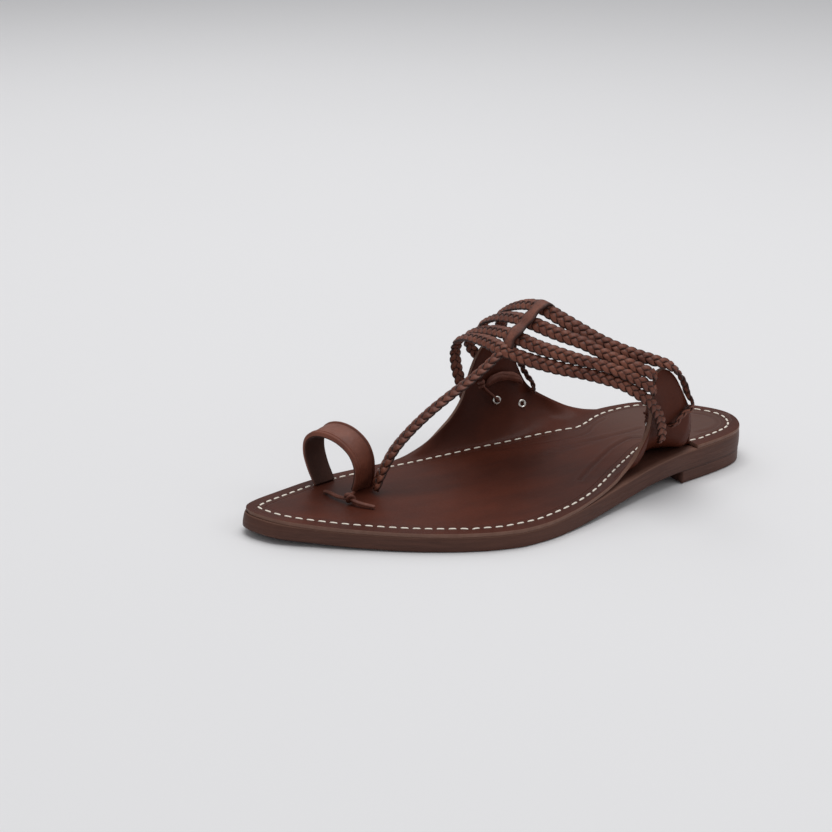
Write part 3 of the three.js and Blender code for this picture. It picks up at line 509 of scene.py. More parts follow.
print("footbed")
footbedLook = {
    "red": (0.094, 0.0215, 0.0105),
    "deep": (0.052, 0.0135, 0.0078),
    "heel": (0.12, 0.07, 0.056),  # paler towards the heel, a painted sheen: reflection of the bright surroundings
    # edge: colour of the painted highlight along the cut edge
    "edge": (0.27, 0.16, 0.12),
    "grooveFrom": 3.1,  # embossed line, in from the stitches, mm
    "channelWidth": 0.9,
    "steps": 28,  # points over each ear
    "earExtra": 0.8,  # how much thicker the ears are, mm
    "rimBulge": 0.35,  # how round their cut edge is
}
# creases of the insole: middle line (along, across), width and depth in mm
creaseRows = {
    "inner": ([(129.3, -23.1), (118.6, -20.4), (103.3, -14.9), (90.5, -10.2), (81.7, -11.2), (73.9, -17.1),
               (64.9, -20.9)], 0.8, 0.22),
    "outer": ([(117.2, 35.4), (107.7, 28.3), (95.2, 20.5), (82.9, 13.3), (74.4, 10.1), (68.4, 8.8),
               (63.8, 11.3)], 1.0, 0.5),
    "foldLong": ([(103.4, -4.9), (92.4, -2.6), (81.2, -0.5), (68.3, 1.2), (56.3, 0.7)], 1.3, 0.28),
    "foldShort": ([(112.1, -2.9), (102.4, -0.7), (89.6, 0.8), (78, 0.5)], 1.6, 0.22),
    "heelPad": ([(16.7, -4.6), (12.8, 1.2), (12.4, 8.6), (16.3, 15.4), (24.3, 19.9), (33.3, 20.3)],
                1.2, 0.3),
}


def stitchLine():
    # closed line of the stitches at even steps: (along, across)
    line, normal = outlineLoop(1600)
    plain = line + normal * sandal["seamInset"]
    outer = np.arange(len(line)) < len(line) / 2
    follows = np.where(outer, seamAt(line[:, 0], "outer"), seamAt(line[:, 0], "inner"))
    return mix(plain, np.column_stack((line[:, 0], follows)), seamShare(line[:, 0])[:, None])


def distanceTo(points, line):
    # distance in plan from each point to a dense line of points
    best = np.full(len(points), 1e9)
    for part in np.array_split(line, 8):
        gap = np.hypot(points[:, None, 0] - part[None, :, 0], points[:, None, 1] - part[None, :, 1])
        best = np.minimum(best, gap.min(1))
    return best


def footbedStations():
    coarse = alongAt(np.linspace(0.03, sweepAngle(43.6), 34))
    fine = np.concatenate((np.arange(43.8, 84.4, 0.22), np.arange(84.5, 190, 0.4)))
    toe = alongAt(np.linspace(sweepAngle(190.6), math.pi - 0.03, 84))
    return np.concatenate((coarse, fine, toe))


def creased(along, across):
    # how far each point of the insole sinks, with a soft ridge beside each trough, and its shade
    sink, shade = np.zeros(along.size), np.zeros(along.size)
    points = np.column_stack((along.ravel(), across.ravel()))
    for rows, width, depth in creaseRows.values():
        line = pathAt([(*row, 0, 0) for row in rows], 0.6)[0]
        gap = distanceTo(points, line[:, :2])
        trough = np.exp(-(gap / width) ** 2)
        ridge = np.exp(-((gap - 2.1 * width) / width) ** 2)
        sink += depth * (trough - 0.4 * ridge)
        shade = np.maximum(shade, trough * min(1, depth * 2.2))
    return sink.reshape(along.shape), shade.reshape(along.shape)


def footbedPiece():
    along = footbedStations()
    steps = footbedLook["steps"]
    earSteps = 1 - np.linspace(0, 1, steps) ** 0.9
    middle = np.linspace(0, 1, 60)[1:-1]
    inner, outer = seamAt(along, "inner"), seamAt(along, "outer")
    upper, ears = [], []
    for side, shares in (("inner", earSteps), ("", middle), ("outer", earSteps[::-1])):
        lifted = smooth(earEdge(along, side)[1] / 12) if side else np.zeros_like(along)
        for t in shares:
            upper.append(curl(along, side, t) if side else (mix(inner, outer, t), topAt(along)))
            ears.append(t * lifted)
    upper = np.moveaxis(np.array(upper), 2, 0)  # station, point, (across, height)
    sink, shade = creased(np.repeat(along[:, None], len(middle), 1), upper[:, steps:-steps, 0])
    upper[:, steps:-steps, 1] -= sink
    ears = np.array(ears).T
    run = unit(np.gradient(upper, axis=1))
    down = np.stack((run[..., 1], -run[..., 0]), -1)
    thick = sandal["footbedThick"] + footbedLook["earExtra"] * ears
    lower = upper + down * thick[..., None]
    # rounded cut edge on both sides
    angle = np.radians((25, 60, 90, 120, 155))[:, None]
    bulge = footbedLook["rimBulge"] * np.sin(angle)
    nearRim, farRim = (mix(upper[:, None, k], lower[:, None, k], 0.5 * (1 - np.cos(angle)))
                       + sign * run[:, None, k] * bulge for k, sign in ((-1, 1), (0, -1)))
    count = upper.shape[1]
    pick = np.concatenate((np.arange(0, steps - 1, 2), np.arange(steps, count - steps, 8),
                           np.arange(count - steps + 1, count, 2)))
    section = np.concatenate((upper, nearRim, lower[:, pick[::-1]], farRim), 1)
    stations = np.repeat(along[:, None], section.shape[1], 1)
    grid = np.concatenate((stations[..., None], section), 2)
    flat = grid.reshape(-1, 3)
    # signed distance from the stitches: positive inside, negative out towards the edge
    gap = distanceTo(flat, stitchLine()[::2])
    column = np.arange(section.shape[1])
    isMiddle = (column >= steps) & (column < count - steps)
    isRim = (column >= len(column) - 5) | (column >= count) & (column < count + 5)
    dark = np.zeros(section.shape[:2])
    dark[:, isMiddle] = shade
    values = {"fromSeam": gap * np.tile(np.where(isMiddle, 1, -1), len(along)),
              "upperFace": np.tile(column < count, len(along)), "cutEdge": np.tile(isRim, len(along)),
              "creaseShade": dark, "alongSole": stations}
    addPiece("footbed", [grid], footbedFinish(footbedLook), "footbed", values)


def footbedFinish(look):
    finish = Finish("footbedLeather", Specular_IOR_Level=0.13, Coat_Weight=0.035, Coat_Roughness=0.2)
    gap, facing, cut = finish.value("fromSeam"), finish.value("upperFace"), finish.value("cutEdge")
    patches = finish.noise(16, distortion=0.6)
    streaks = finish.noise(28, stretch=(3.2, 1, 1))
    tone = patches.smooth(0.3, 0.72) * 0.6 + streaks.smooth(0.35, 0.7) * 0.4
    finish.base = finish.colour(tone, look["deep"], look["red"])
    # painted reflection: the footbed drawn paler towards the heel
    heelSheen = 1 - finish.value("alongSole").smooth(45.0, 100.0)
    finish.tint(heelSheen * (0.35 + 0.45 * patches) * gap.smooth(0.0, 4.0), look["heel"])
    # painted shade in the insole's creases
    finish.tint(finish.value("creaseShade") * 0.6, look["deep"])
    # painted shade along the stitch line
    darker = (gap + 0.4).maths("ABSOLUTE").smooth(0.0, 4.5)
    finish.tint((1 - darker) * 0.35, look["deep"])
    grooveGap = (gap - look["grooveFrom"]).maths("ABSOLUTE")
    groove = (1 - grooveGap.smooth(0.05, 0.55)) * facing
    # painted shade in the embossed groove
    finish.tint(groove * 0.55, look["deep"])
    # painted highlight along the cut edge of the leather
    edgeHighlight = cut.smooth(0.3, 0.9) * (0.35 + 0.4 * finish.noise(300, 3))
    finish.tint(edgeHighlight, look["edge"])
    pores = finish.cells(1500)
    grain = finish.noise(900, 4, 0.65)
    wrinkles = finish.noise(70, stretch=(1, 2.4, 1))
    channel = (1 - (gap.maths("ABSOLUTE")).smooth(0.3, look["channelWidth"] + 0.3)) * facing
    relief = finish.bump(channel * -1, 0.0003, 0.8)
    relief = finish.bump(groove * -1 + wrinkles * 0.4, 0.00025, 0.8, over=relief)
    relief = finish.bump(pores * 0.5 + grain * 0.6, 0.00008, 0.45, over=relief)
    rough = 0.3 + 0.2 * patches + 0.15 * grain
    return finish.feed(Base_Color=finish.base, Normal=relief, Roughness=rough)


footbedPiece()

print("stitches")
stitchLook = {
    "pitch": 5.7, "length": 4.2, "width": 1.15, "height": 0.75, "cream": (0.9, 0.84, 0.74),
    "shade": (0.62, 0.53, 0.43),
}


def stitchPiece():
    curve = stitchLine()
    closed = np.vstack((curve, curve[:1]))
    step = np.hypot(*np.diff(closed, axis=0).T)
    run = np.concatenate(([0], np.cumsum(step)))
    count = int(round(run[-1] / stitchLook["pitch"]))
    starts = np.arange(count) * run[-1] / count
    ends, sides = 9, 8
    share = np.linspace(0, 1, ends)
    at = (starts[:, None] + share[None, :] * stitchLook["length"]) % run[-1]
    along, across = np.interp(at, run, closed[:, 0]), np.interp(at, run, closed[:, 1])
    tangent = unit(np.stack((np.gradient(along, axis=1), np.gradient(across, axis=1)), -1))
    # each stitch is a capsule that dips at both ends
    swell = np.sqrt(np.clip(1 - (2 * share - 1) ** 4, 0.02, 1))
    angle = fullTurn(sides)
    half, high = stitchLook["width"] / 2, stitchLook["height"] / 2
    offset = np.outer(half * swell, np.cos(angle))
    lift = high * swell[:, None] * (np.sin(angle)[None, :] + 0.15) - 0.28 * (1 - swell[:, None])
    grids = []
    for a, b, (u, v) in zip(along, across, np.moveaxis(tangent, 2, 1)):
        line = np.column_stack((a, b, topAt(a)))
        grids.append(sweep(line, np.column_stack((-v, u, 0 * u)), np.tile((0.0, 0.0, 1.0), (ends, 1)),
                           offset, lift))
    finish = Finish("creamThread", Roughness=0.75, Sheen_Weight=0.15)
    twist = finish.noise(1400, 3, stretch=(1, 1, 1), turn=(0, 0, 0.6))
    colour = finish.colour(twist.smooth(0.2, 0.6), stitchLook["shade"], stitchLook["cream"])
    thread = finish.feed(Base_Color=colour, Normal=finish.bump(twist, 0.0001, 0.7))
    addPiece("footbedStitches", grids, thread, None)


stitchPiece()

print("plaits")
plaitLook = {
    "pitch": 13.2,  # one whole turn of a strip
    "swing": 0.265,  # share of the plait's width that a strip swings to each side
    "strip": 0.47,  # strip's width as a share of the plait's
    "thick": 1.6,
    "over": 0.85,  # how far a strip rises and dips
    "lean": 0.5,  # how far it turns over towards the plait's edge
    "light": (0.215, 0.072, 0.042),
    "brown": (0.128, 0.036, 0.02),
    "dark": (0.016, 0.004, 0.0025),
}
# middle line of each plait: along, across, height, width, and where it leaves the instep
# also its turn to the heel and its thickness, else 0 and 1
plaitRows = {
    "plaitRear": [
        (98.8, -39.8, 35.6, 3.6, 1.8, 0.7), (98.8, -41.6, 39.4, 4.4, 1.5, 0.75),
        (100.4, -44, 42.4, 5, 1.1, 0.8), (102.4, -44.8, 46, 5.6, 1, 0.85), (104.6, -45, 50.6, 6, 1, 0.9),
        (109.4, -45.6, 60.2, 6.4, 0.7, 0.95), (115, -46.4, 70.4, 6.8, 0.3, 1), (119.4, -42, 79.6, 7.2),
        (121.8, -33, 85.8, 7.6), (122.2, -22, 91, 8), (121.4, -10, 94.6, 8.2), (119.6, 0, 95, 8.2),
        (115.6, 10, 91.8, 8.2), (109, 18, 87, 8.2), (101.7, 26, 82.2, 7.8), (94.3, 33, 78.6, 7.4),
        (86.4, 39, 75.6, 7), (80.2, 44.2, 73.6, 6.8, 0.1, 1), (74.8, 47.4, 71.6, 6.6, 0.3, 0.95),
        (70.2, 47.2, 68.2, 6.4, 0.6, 0.9), (66.2, 46.6, 63.6, 6.2, 0.9, 0.85), (62.8, 46, 58, 6, 1, 0.8),
        (60.8, 45.8, 53, 5.4, 1, 0.7), (58.6, 47.2, 49, 4.2, 0.8, 0.65), (60, 48, 46.2, 3.8, 0.4, 0.65),
        (62.8, 47, 44.2, 3.4, 0.1, 0.65), (65.2, 46.4, 41.6, 3.2, 0, 0.6), (67.4, 45.4, 38, 2.8, 0, 0.6),
    ],
    "plaitSecond": [
        (122.6, -49.6, 66.4, 6), (126, -48, 71.4, 7), (129.4, -42.6, 76.6, 7.2), (130.4, -34, 81.6, 7.6),
        (130.2, -22, 86.2, 8), (129.4, -10, 88.6, 8.2), (127.5, 0, 88.8, 8.2), (123.8, 9, 87.2, 8.2),
        (119, 17, 85.2, 8), (112, 26, 82.6, 7.6), (105.7, 34, 78.6, 7), (98.4, 40.6, 75.2, 6.8),
        (92, 45.2, 72.3, 6.8), (86.8, 48.6, 69.6, 6.6), (83.2, 47.2, 67.6, 6.2, 0, 0.9),
    ],
    "plaitThird": [
        (131.4, -49.6, 60, 6), (134.6, -48.6, 66.2, 7), (137.4, -43.4, 71.8, 7.2), (138, -34, 76.6, 7.6),
        (137.2, -21, 80.2, 8), (136.3, -9, 82, 8.2), (135, 0, 81.8, 8.2), (130, 13, 79.6, 8.2),
        (124, 22, 77.8, 7.8), (116.9, 31, 76, 7), (109.3, 38.4, 74.1, 6.8), (100.9, 44.6, 70.8, 6.8),
        (93.9, 48.2, 66.9, 6.8), (87.2, 50.2, 62.5, 6.6), (83.4, 47.6, 59.8, 6.2, 0, 0.9),
    ],
    "plaitFront": [
        (134.8, -49.6, 25, 4.6), (136, -49.6, 33, 5.6), (138.4, -49.6, 42, 6.6), (141.4, -49.6, 52, 7),
        (142.8, -48.8, 61, 7), (143.6, -43.8, 69, 7.2), (144, -35, 73.6, 7.6), (143.4, -24, 75.8, 8),
        (143.1, -12, 76.8, 8.2), (142.4, 0, 76.2, 8.2), (137, 9, 74, 8.2), (131.6, 18, 72.7, 8),
        (125.1, 26, 71.3, 7.6), (117.8, 34, 70.2, 7), (109.5, 40.6, 68.1, 6.8), (101.2, 46, 65, 6.8),
        (93.4, 49.6, 59.8, 6.8), (88, 50.4, 55.4, 6.8), (83.6, 49.9, 50.6, 6.8), (79.6, 48.6, 44.4, 6.6),
        (77, 46.9, 38, 6.2), (75.2, 45.2, 32, 5),
    ],
    "thong": [
        (212.8, -5.4, 11.6, 7.6), (211.2, -5.5, 16, 8.2), (207.2, -5.9, 23, 8.6),
        (201.6, -5.9, 31.4, 8.8), (192.6, -5.4, 40.2, 8.8), (182, -4.2, 48.8, 8.8), (171, -3.2, 56, 8.6),
        (160.4, -2, 62.6, 8.4), (151.4, -1, 69, 8), (146, -0.4, 73.4, 7.4), (143.2, 0, 75, 6.6),
    ],
}
# where a plait's end goes into the leather of an ear
sunkEnds = {
    "plaitRear": [(97.6, -42.6, 34, 3, 1.6, 0.6), (69, 41.5, 36.4, 2.6, 0, 0.6)],
    "plaitSecond": [(119.4, -46.2, 63.4, 5.4, 0, 0.9), (80, 43, 65.8, 5.6, 0, 0.8)],
    "plaitThird": [(128, -46.2, 56.4, 5.4, 0, 0.9), (80, 43.4, 57.6, 5.4, 0, 0.8)],
    "plaitFront": [(134.4, -46.4, 21, 4, 0, 0.8), (74, 41.4, 28.6, 4.4, 0, 0.8)],
}
# half width, depth and pace of the scallops, half thickness and sag of the spine strip
spineLook = {"half": 4.3, "scallop": 0.55, "waves": 0.68, "thick": 0.95, "sag": 0.105}
spineRows = [
    (140, 0, 77.6), (138.4, 0, 81.6), (135.6, 0, 84.8), (131.2, 0, 88), (127.6, 0, 91.6),
    (123.6, 0, 95.2), (119.4, 0, 97.8), (115.4, -0.4, 96), (114.6, -0.8, 92.4),
]


def squareTo(tangent, vectors):
    return unit(vectors - tangent * (vectors * tangent).sum(1)[:, None])


def framesAlong(line, hint):
    # outward and side directions at each point, the outward one turned from a hint
    tangent = unit(np.gradient(line[:, :3], axis=0))
    out = squareTo(tangent, hint(line))
    for _ in range(6):
        out[1:-1] = (out[:-2] + out[1:-1] * 2 + out[2:]) / 4
        out = squareTo(tangent, out)
    return out, np.cross(tangent, out)


def outOfFoot(line):
    # away from the foot anywhere on the instep, (along, across, height)
    across, turn = line[:, 1], line[:, 4]
    crest = np.clip((line[:, 2] - 30) / 45, 0, 1)
    lean = 0.8 * crest * np.clip(1.5 - np.abs(across) / 36, 0.15, 1)
    return np.column_stack((lean * (1 - turn) - 1.7 * turn,
                            np.clip((across - 1) / 26, -1.8, 1.8) * (1 - turn), 0.15 + 0.85 * crest))


def upThong(line):
    return np.tile(np.array((1.0, 0.0, 1.0)), (len(line), 1))


def strips(rows, hint, shift):
    # three flat strips that each swing across and over in a figure of eight
    line, run = pathAt([(*row, 0, 1)[:6] for row in rows], 0.62)
    out, side = framesAlong(line, hint)
    width = line[:, 3]
    ends = np.minimum(1, np.minimum(run, run[-1] - run) / 3 + 0.35)
    angle = fullTurn(12)
    # superellipse section of a strip
    flatCos, flatSin = squared(np.cos(angle), 0.75), squared(np.sin(angle), 0.9)
    grids = []
    for k in range(3):
        phase = 2 * math.pi * (run / plaitLook["pitch"] + k / 3 + shift)
        swing = plaitLook["swing"] * width * np.sin(phase)
        over = plaitLook["over"] * np.sin(2 * phase) * ends * line[:, 5]
        centre = line[:, :3] + side * swing[:, None] + out * over[:, None]
        ahead = unit(np.gradient(centre, axis=0))
        # the strip leans over towards the plait's edge
        lean = plaitLook["lean"] * np.sin(phase) * np.sin(2 * phase)
        face = squareTo(ahead, out * np.cos(lean)[:, None] + side * np.sin(lean)[:, None])
        flat = np.cross(ahead, face)
        half = plaitLook["strip"] * width / 2 * ends
        thick = plaitLook["thick"] / 2 * (0.75 + 0.25 * ends) * line[:, 5]
        grids.append(sweep(centre, flat, face, np.outer(half, flatCos), np.outer(thick, flatSin)))
    return grids, np.tile(flatCos, 3 * len(line))


def plaitFinish(look):
    finish = Finish("braidLeather", Specular_IOR_Level=0.3, Coat_Weight=0.08, Coat_Roughness=0.35)
    across = finish.value("acrossStrip").maths("ABSOLUTE")
    patches = finish.noise(60)
    grain = finish.noise(700, 4, 0.65)
    finish.base = finish.colour(patches.smooth(0.35, 0.7), look["brown"], look["light"])
    finish.tint((1 - grain.smooth(0.3, 0.52)) * 0.4, look["dark"])
    # painted shade at the edges of each strip, in the gaps between strips
    finish.tint(across.smooth(0.42, 0.96) * 0.9, look["dark"])
    finish.tint(grain.smooth(0.55, 0.8) * 0.3, look["light"])
    relief = finish.bump(grain + finish.cells(1100) * 0.5, 0.0002, 0.8)
    return finish.feed(Base_Color=finish.base, Normal=relief, Roughness=0.42 + 0.25 * grain)


def plaitPieces(leather):
    for name, rows in plaitRows.items():
        hint = upThong if name == "thong" else outOfFoot
        if name in sunkEnds:
            first, last = sunkEnds[name]
            rows = [first, *rows, last]
        grids, across = strips(rows, hint, 0.13 * len(name))
        addPiece(name, grids, leather, "braided_upper", {"acrossStrip": across})


def spinePiece(leather):
    # flat strip with softly rolled edges, its section a flat superellipse, scalloped between the plaits
    line, run = pathAt([(*row, 0, 0, 1) for row in spineRows], 0.5)
    turn = smooth((line[:, 0] - 115) / 8)
    hint = lambda points: np.column_stack((0.75 - (1 - turn) * 2.2, 0 * turn, 1 + 0 * turn))
    out, side = framesAlong(line, hint)
    angle = fullTurn(28)
    wide, thick = squared(np.cos(angle), 0.45), squared(np.sin(angle), 0.7)
    scallop = spineLook["scallop"] * np.cos(run * spineLook["waves"]) * smooth(run / 4)
    half = spineLook["half"] + scallop
    above = spineLook["thick"] * thick + spineLook["sag"] * np.cos(angle * 2)
    grid = sweep(line, side, out, np.outer(half, wide), np.tile(above, (len(line), 1)))
    addPiece("spineStrip", [grid], leather, "braided_upper",
             {"acrossStrip": np.tile(wide * 0.9, len(line))})


braidLeather = plaitFinish(plaitLook)
plaitPieces(braidLeather)
spinePiece(braidLeather)

print("toe ring")
# front and rear edge of the ring: along, across, height over the footbed
ringRows = {
    "front": [(236, -28.4, 0), (238.4, -31.4, 9), (239.6, -33, 17), (239.4, -31.6, 24),
              (237.6, -26.6, 28.6), (234.4, -18.6, 30.2), (230.6, -10.6, 28.4), (227, -4.6, 23.4),
              (224.6, -3.2, 16.4), (223, -6.6, 8), (222, -12, 0)],
    "rear": [(223.6, -32.2, 0), (225.6, -36, 9), (226.6, -38, 18), (226.4, -36.4, 26), (224.8, -31, 31.4),
             (221.8, -22.8, 33.8), (218, -15, 32.2), (214.4, -9.6, 27), (211.8, -8.8, 19.6),
             (209.8, -11.6, 9.6), (208.4, -16.6, 0)],
}
ringLook = {
    "thick": 2.3,
    "cords": [(0.06, 0.055, 0.95), (0.83, 0.045, 0.75), (0.935, 0.06, 1.05)],  # place, half width, height
    # furrows: places across the band that get painted shade
    "furrows": (0.885, 0.775, 0.125),
    "tan": (0.2, 0.062, 0.036),
    "brown": (0.115, 0.033, 0.019),
    "suede": (0.05, 0.022, 0.016),
    "dark": (0.03, 0.01, 0.008),
}


def ringEdge(rows):
    table = np.array(rows, float)
    table[:, 2] += topAt(table[:, 0])
    line, run = pathAt(table, 0.2)
    even = np.linspace(0, run[-1], 150)
    return np.column_stack([np.interp(even, run, line[:, k]) for k in range(3)])


def toeRingPiece():
    front, rear = ringEdge(ringRows["front"]), ringEdge(ringRows["rear"])
    tangent = unit(np.gradient(front, axis=0) + np.gradient(rear, axis=0))
    band = front - rear
    width = np.linalg.norm(band, axis=1)
    band = unit(band)
    out = unit(np.cross(band, tangent))
    centre = np.array((224.0, -18.0, 26.0))
    out *= np.sign((out * (front - centre)).sum(1))[:, None]
    # outer face across the band: a double cord in front, a low crown, a cord behind
    share = np.linspace(0, 1, 60)
    outer = 0.35 * np.sin(share * math.pi)
    for at, half, high in ringLook["cords"]:
        outer = outer + high * np.sqrt(np.clip(1 - ((share - at) / half) ** 2, 0, 1))
    edge = np.sqrt(np.clip(1 - ((share - 0.5) / 0.5) ** 2, 0, 1)) ** 0.25
    outer = ringLook["thick"] / 2 * edge + outer * edge
    inner = -ringLook["thick"] / 2 * edge[::-1] + 0.12 * np.sin(share * math.pi)
    across = np.concatenate((share, share[::-1]))
    level = np.concatenate((outer, inner)) - ringLook["thick"] / 2
    grid = sweep(rear, band, out, np.outer(width, across), np.tile(level, (len(front), 1)))
    values = {"insideRing": np.tile(np.repeat((0.0, 1.0), 60), len(front)),
              "acrossRing": np.tile(across, len(front))}
    addPiece("toeRing", [grid], ringFinish(ringLook), "toe_ring", values)


def ringFinish(look):
    finish = Finish("ringLeather", Specular_IOR_Level=0.3, Coat_Weight=0.08, Coat_Roughness=0.35)
    inside, across = finish.value("insideRing"), finish.value("acrossRing")
    patches = finish.noise(50)
    cells = finish.cells(650)
    grain = finish.noise(700)
    finish.base = finish.colour(patches.smooth(0.3, 0.7), look["brown"], look["tan"])
    # painted shade in the furrows beside the cords
    creases = 0.0
    for at in look["furrows"]:
        creases = creases + (1 - (across - at).maths("ABSOLUTE").smooth(0.0, 0.02))
    finish.tint(creases.maths("MINIMUM", 1.0) * 0.6, look["dark"])
    nap = finish.noise(260, 4, 0.65)
    finish.tint(inside * (0.8 + 0.2 * nap), look["suede"])
    relief = finish.bump(cells * 0.8 + grain * 0.5, 0.0002, 0.7)
    rough = 0.42 + 0.2 * grain + inside * 0.4
    return finish.feed(Base_Color=finish.base, Normal=relief, Roughness=rough.maths("MINIMUM", 1.0))


toeRingPiece()

print("eyelets")
eyeletLook = {
    "outer": 2.5, "bore": 1.1, "rise": 0.8, "silver": (0.95, 0.94, 0.9), "worn": (0.8, 0.78, 0.73),
    "barrel": [(1.1, -1.2), (1.45, -1.2), (1.5, -0.1), (2.3, -0.1)],
}
eyeletSeats = {
    "inner_front": ("inner", 121.8, 33.4),
    "inner_rear": ("inner", 105.8, 28.6),
    "outer_front": ("outer", 78.5, 37.4),
    "outer_rear": ("outer", 71, 38.4),
}


def eyeletPieces():
    finish = Finish("brightMetal", Metallic=1.0)
    wear = finish.noise(500)
    colour = finish.colour(wear.smooth(0.3, 0.8), eyeletLook["worn"], eyeletLook["silver"])
    finish.feed(Base_Color=colour, Roughness=0.16 + 0.22 * wear, Normal=finish.bump(wear, 0.00004, 0.5))
    # rolled flange and the barrel inside it, turned round the seat's normal
    angle = np.linspace(0, math.pi, 12)
    middle = (eyeletLook["outer"] + eyeletLook["bore"]) / 2
    half = (eyeletLook["outer"] - eyeletLook["bore"]) / 2
    dome = np.column_stack((middle + half * np.cos(angle), 0.12 + eyeletLook["rise"] * np.sin(angle)))
    profile = np.vstack((dome, eyeletLook["barrel"]))
    turn = fullTurn(48)
    for name, (side, along, height) in eyeletSeats.items():
        seat, normal = earFace(along, side, height)
        seat = seat + normal * 0.3
        first = unit(np.cross(normal, (0, 0, 1.0)))
        second = np.cross(normal, first)
        around = np.outer(np.cos(turn), first) + np.outer(np.sin(turn), second)
        ring = seat + profile[:, None, 1, None] * normal + profile[:, None, 0, None] * around
        addPiece(f"eyelet_{name}", [ring], finish.material, f"eyelet_{name}",
                 capped=False, closeRows=True)


eyeletPieces()

print("bands and laces")
laceLook = {
    "brown": (0.085, 0.024, 0.0145),
    "light": (0.15, 0.048, 0.029),
    "dark": (0.022, 0.007, 0.0045),
}


def laceFinish(look):
    finish = Finish("laceLeather", Specular_IOR_Level=0.3, Coat_Weight=0.05, Coat_Roughness=0.4)
    patches = finish.noise(140)
    grain = finish.noise(900, 4, 0.65)
    finish.base = finish.colour(patches.smooth(0.3, 0.7), look["brown"], look["light"])
    folds = finish.noise(260, 3, stretch=(1, 3.5, 1))
    finish.tint(folds.smooth(0.55, 0.8) * 0.5, look["dark"])
    relief = finish.bump(folds * 0.8 + grain * 0.4, 0.0003, 0.7)
    return finish.feed(Base_Color=finish.base, Normal=relief, Roughness=0.45 + 0.3 * grain)


def tube(points, radius, flat):
    # flattened cord along a smooth line, with its ends drawn in
    line, run = pathAt(points, 0.4)
    tangent = unit(np.gradient(line, axis=0))
    out = np.empty_like(tangent)
    last = np.array((0.2, 0.3, 1.0))
    for k, t in enumerate(tangent):
        last = unit(last - t * (last @ t))
        out[k] = last
    side = np.cross(tangent, out)
    draw = np.sqrt(np.clip(np.minimum(run, run[-1] - run) / 0.6, 0.06, 1))
    angle = fullTurn(14)
    return sweep(line, side, out, np.outer(radius * draw, np.cos(angle)),
                 np.outer(radius * flat * draw, np.sin(angle)))


# folded roll on each ear: along and height of its middle line
bandRows = {
    "inner": np.array([(129, 43.2), (125, 45.4), (120, 46.4), (114, 45.6), (109, 43.4), (105.4, 40.6)]),
    "outer": np.array([(80.4, 44.4), (77.6, 46.6), (73.6, 47.6), (69.4, 46.6), (66.4, 44.6)]),
}
bandLook = {"half": 1.6, "high": 2.6, "lift": 2.66}


def bandPieces(leather):
    # soft roll with a crease along it, drawn in at both ends
    for side, rows in bandRows.items():
        share = np.linspace(0, 1, 90)
        along = mix(rows[0, 0], rows[-1, 0], share)
        height = follow(-along, -rows[:, 0], rows[:, 1])
        size = np.sqrt(np.clip(1 - (2 * share - 1) ** 8, 0.06, 1)) * (1 + 0.03 * np.sin(share * 19))
        seats, normals = np.moveaxis([earFace(a, side, h) for a, h in zip(along, height)], 1, 0)
        angle, s = fullTurn(40), share[:, None]
        turned = (angle + math.pi) % (2 * math.pi) - math.pi
        fold = 1 - 0.16 * np.exp(-((turned - 0.35 - 0.25 * np.sin(s * 7)) / 0.16) ** 2)
        fold = fold - 0.1 * np.exp(-((turned + 0.75 - 0.2 * np.sin(s * 5)) / 0.14) ** 2)
        fold = size[:, None] * fold
        grid = sweep(seats + normals * bandLook["lift"], normals, np.tile((0.0, 0.0, 1.0), (90, 1)),
                     fold * bandLook["half"] * np.cos(angle), fold * bandLook["high"] * np.sin(angle))
        addPiece(f"rolledBand_{side}", [grid], leather, f"rolled_band_{side}")


def coil(centre, radius, turns, length, axis):
    # a few close turns of lace round its own line, as a knot
    t = np.linspace(0, 1, 40)
    a, b = [k for k in range(3) if k != axis]
    points = np.tile(np.asarray(centre, float), (len(t), 1))
    points[:, axis] += (t - 0.5) * length
    points[:, a] += radius * np.cos(t * turns * 2 * math.pi)
    points[:, b] += radius * np.sin(t * turns * 2 * math.pi)
    return points


# knot and bend of each ear's lace: along, height, distance off the ear
earLaceRows = {
    "inner": {"start": 1.5, "knot": (132.6, 44.6, 4.6), "bend": (127.8, 39.6, 2.6)},
    "outer": {"start": -1.5, "knot": (77.4, 41.4, 4.6), "bend": (78, 39.4, 3.2)},
}


def offEar(side, along, height, lift):
    seat, normal = earFace(along, side, height)
    return seat + normal * lift


def earLacePieces(leather):
    for side, rows in earLaceRows.items():
        _, along, height = eyeletSeats[f"{side}_front"]
        rollAlong, rollHeight = bandRows[side][0]
        start = offEar(side, rollAlong + rows["start"], rollHeight, bandLook["lift"])
        knot, bend = offEar(side, *rows["knot"]), offEar(side, *rows["bend"])
        over, hole = offEar(side, along, height, 2.8), offEar(side, along, height, 0.2)
        grids = [tube([start, knot, bend, over, hole], 0.85, 0.75),
                 tube(coil(knot, 1.25, 1.6, 3, axis=2), 1.05, 0.75)]
        addPiece(f"earLace_{side}", grids, leather, f"ear_lace_{side}")


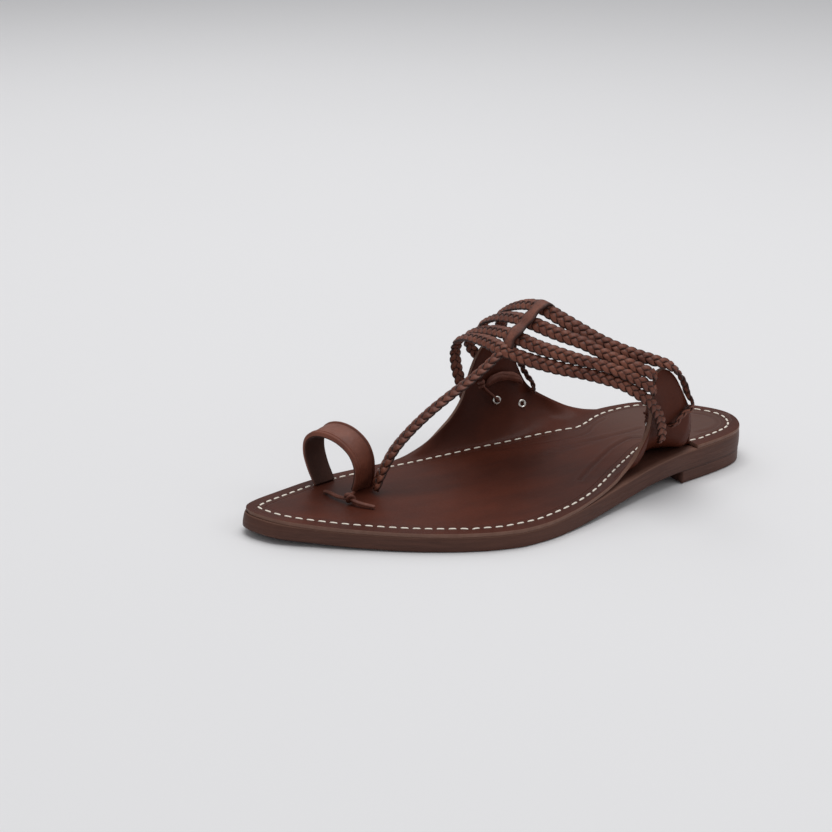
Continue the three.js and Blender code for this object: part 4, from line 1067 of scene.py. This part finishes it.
def toeLacePiece(leather):
    base = lambda along: float(topAt(np.array(along)))
    # the long way through the knot, then the stub: along, across, where the footbed is measured, rise
    rows = [(235.6, -17, 235, 1.2), (235.2, -12, 235, 2), (233.6, -6, 233, 1.9), (231.6, -1, 231, 2.4),
            (230.4, 1.4, 230, 3), (229, 5.4, 229, 2.4), (226, 9.4, 226, 1.9), (222.2, 13, 222, 1.3),
            (227.4, -2.4, 227, 3.6), (224.6, -5.6, 224, 2.6)]
    points = [(along, across, base(at) + rise) for along, across, at, rise in rows]
    route, knot = points[:8], np.array(points[4])
    stub = [knot, *points[8:]]
    lace = addPiece("toeLace", [tube(route, 1.15, 0.6)], leather, "toe_lace")
    grids = [tube(stub, 1.05, 0.7), tube(coil(knot, 1.45, 1.7, 4.6, axis=1), 1.15, 0.75)]
    bow = addPiece("toeLaceKnot", grids, leather, "toe_lace")
    line = place(pathAt([(*row, 0) for row in route], 1.5)[0][:, :3])


laceLeather = laceFinish(laceLook)
bandPieces(laceLeather)
earLacePieces(laceLeather)
toeLacePiece(laceLeather)

print("floor, light and camera")
studio = {
    "cameraAt": (578.4, 718.6, 346.4),  # along, across, height, mm
    "heading": (0.881, -0.473),  # towards the shoe: against across, against along
    "tilt": 20.0,
    "lens": 75.72,
    "backdrop": (0.66, 0.66, 0.67),
    "floor": (0.78, 0.78, 0.79),
}


def floorPiece():
    mesh = bpy.data.meshes.new("floor")
    mesh.from_pydata([(-9, -9, 0), (9, -9, 0), (9, 9, 0), (-9, 9, 0)], [], [(0, 1, 2, 3)])
    finish = Finish("paleFloor", Roughness=0.9, Specular_IOR_Level=0.2)
    paper = finish.noise(3, 3, 0.5)
    finish.feed(Base_Color=finish.colour(paper, studio["floor"], tuple(c * 0.985 for c in studio["floor"])))
    mesh.materials.append(finish.material)
    floor = bpy.data.objects.new("floor", mesh)
    bpy.context.scene.collection.objects.link(floor)


def addLight(name, at, target, size, power):
    light = bpy.data.lights.new(name, "AREA")
    light.shape, light.size, light.size_y = "RECTANGLE", size[0], size[1]
    light.energy = power
    lamp = bpy.data.objects.new(name, light)
    lamp.location = at
    lamp.rotation_euler = (Vector(target) - Vector(at)).to_track_quat("-Z", "Y").to_euler()
    bpy.context.scene.collection.objects.link(lamp)


def buildStudio():
    scene = bpy.context.scene
    scene.view_settings.view_transform = "Standard"
    world = bpy.data.worlds.new("studio")
    world.use_nodes = True
    world.node_tree.nodes["Background"].inputs[0].default_value = (*studio["backdrop"], 1)
    world.node_tree.nodes["Background"].inputs[1].default_value = 0.6
    scene.world = world
    addLight("overhead", (-0.15, 0.2, 2.4), (-0.1, 0.1, 0), (2.0, 2.0), 36)
    addLight("behind", (-1.5, 0.1, 1.3), (0, 0, 0.03), (0.9, 0.9), 3)
    addLight("nearRight", (1.2, 1.0, 1.3), (0, 0, 0.04), (1.0, 0.8), 3)
    camera = bpy.data.objects.new("camera", bpy.data.cameras.new("camera"))
    camera.data.lens = studio["lens"]
    camera.data.sensor_width = 36
    camera.data.clip_start, camera.data.clip_end = 0.05, 40
    camera.location = place(studio["cameraAt"])
    tilt = math.radians(studio["tilt"])
    x, y = (-share * math.cos(tilt) for share in studio["heading"])
    ahead = Vector((x, y, -math.sin(tilt)))
    camera.rotation_euler = ahead.to_track_quat("-Z", "Y").to_euler()
    scene.collection.objects.link(camera)
    scene.camera = camera


floorPiece()
buildStudio()
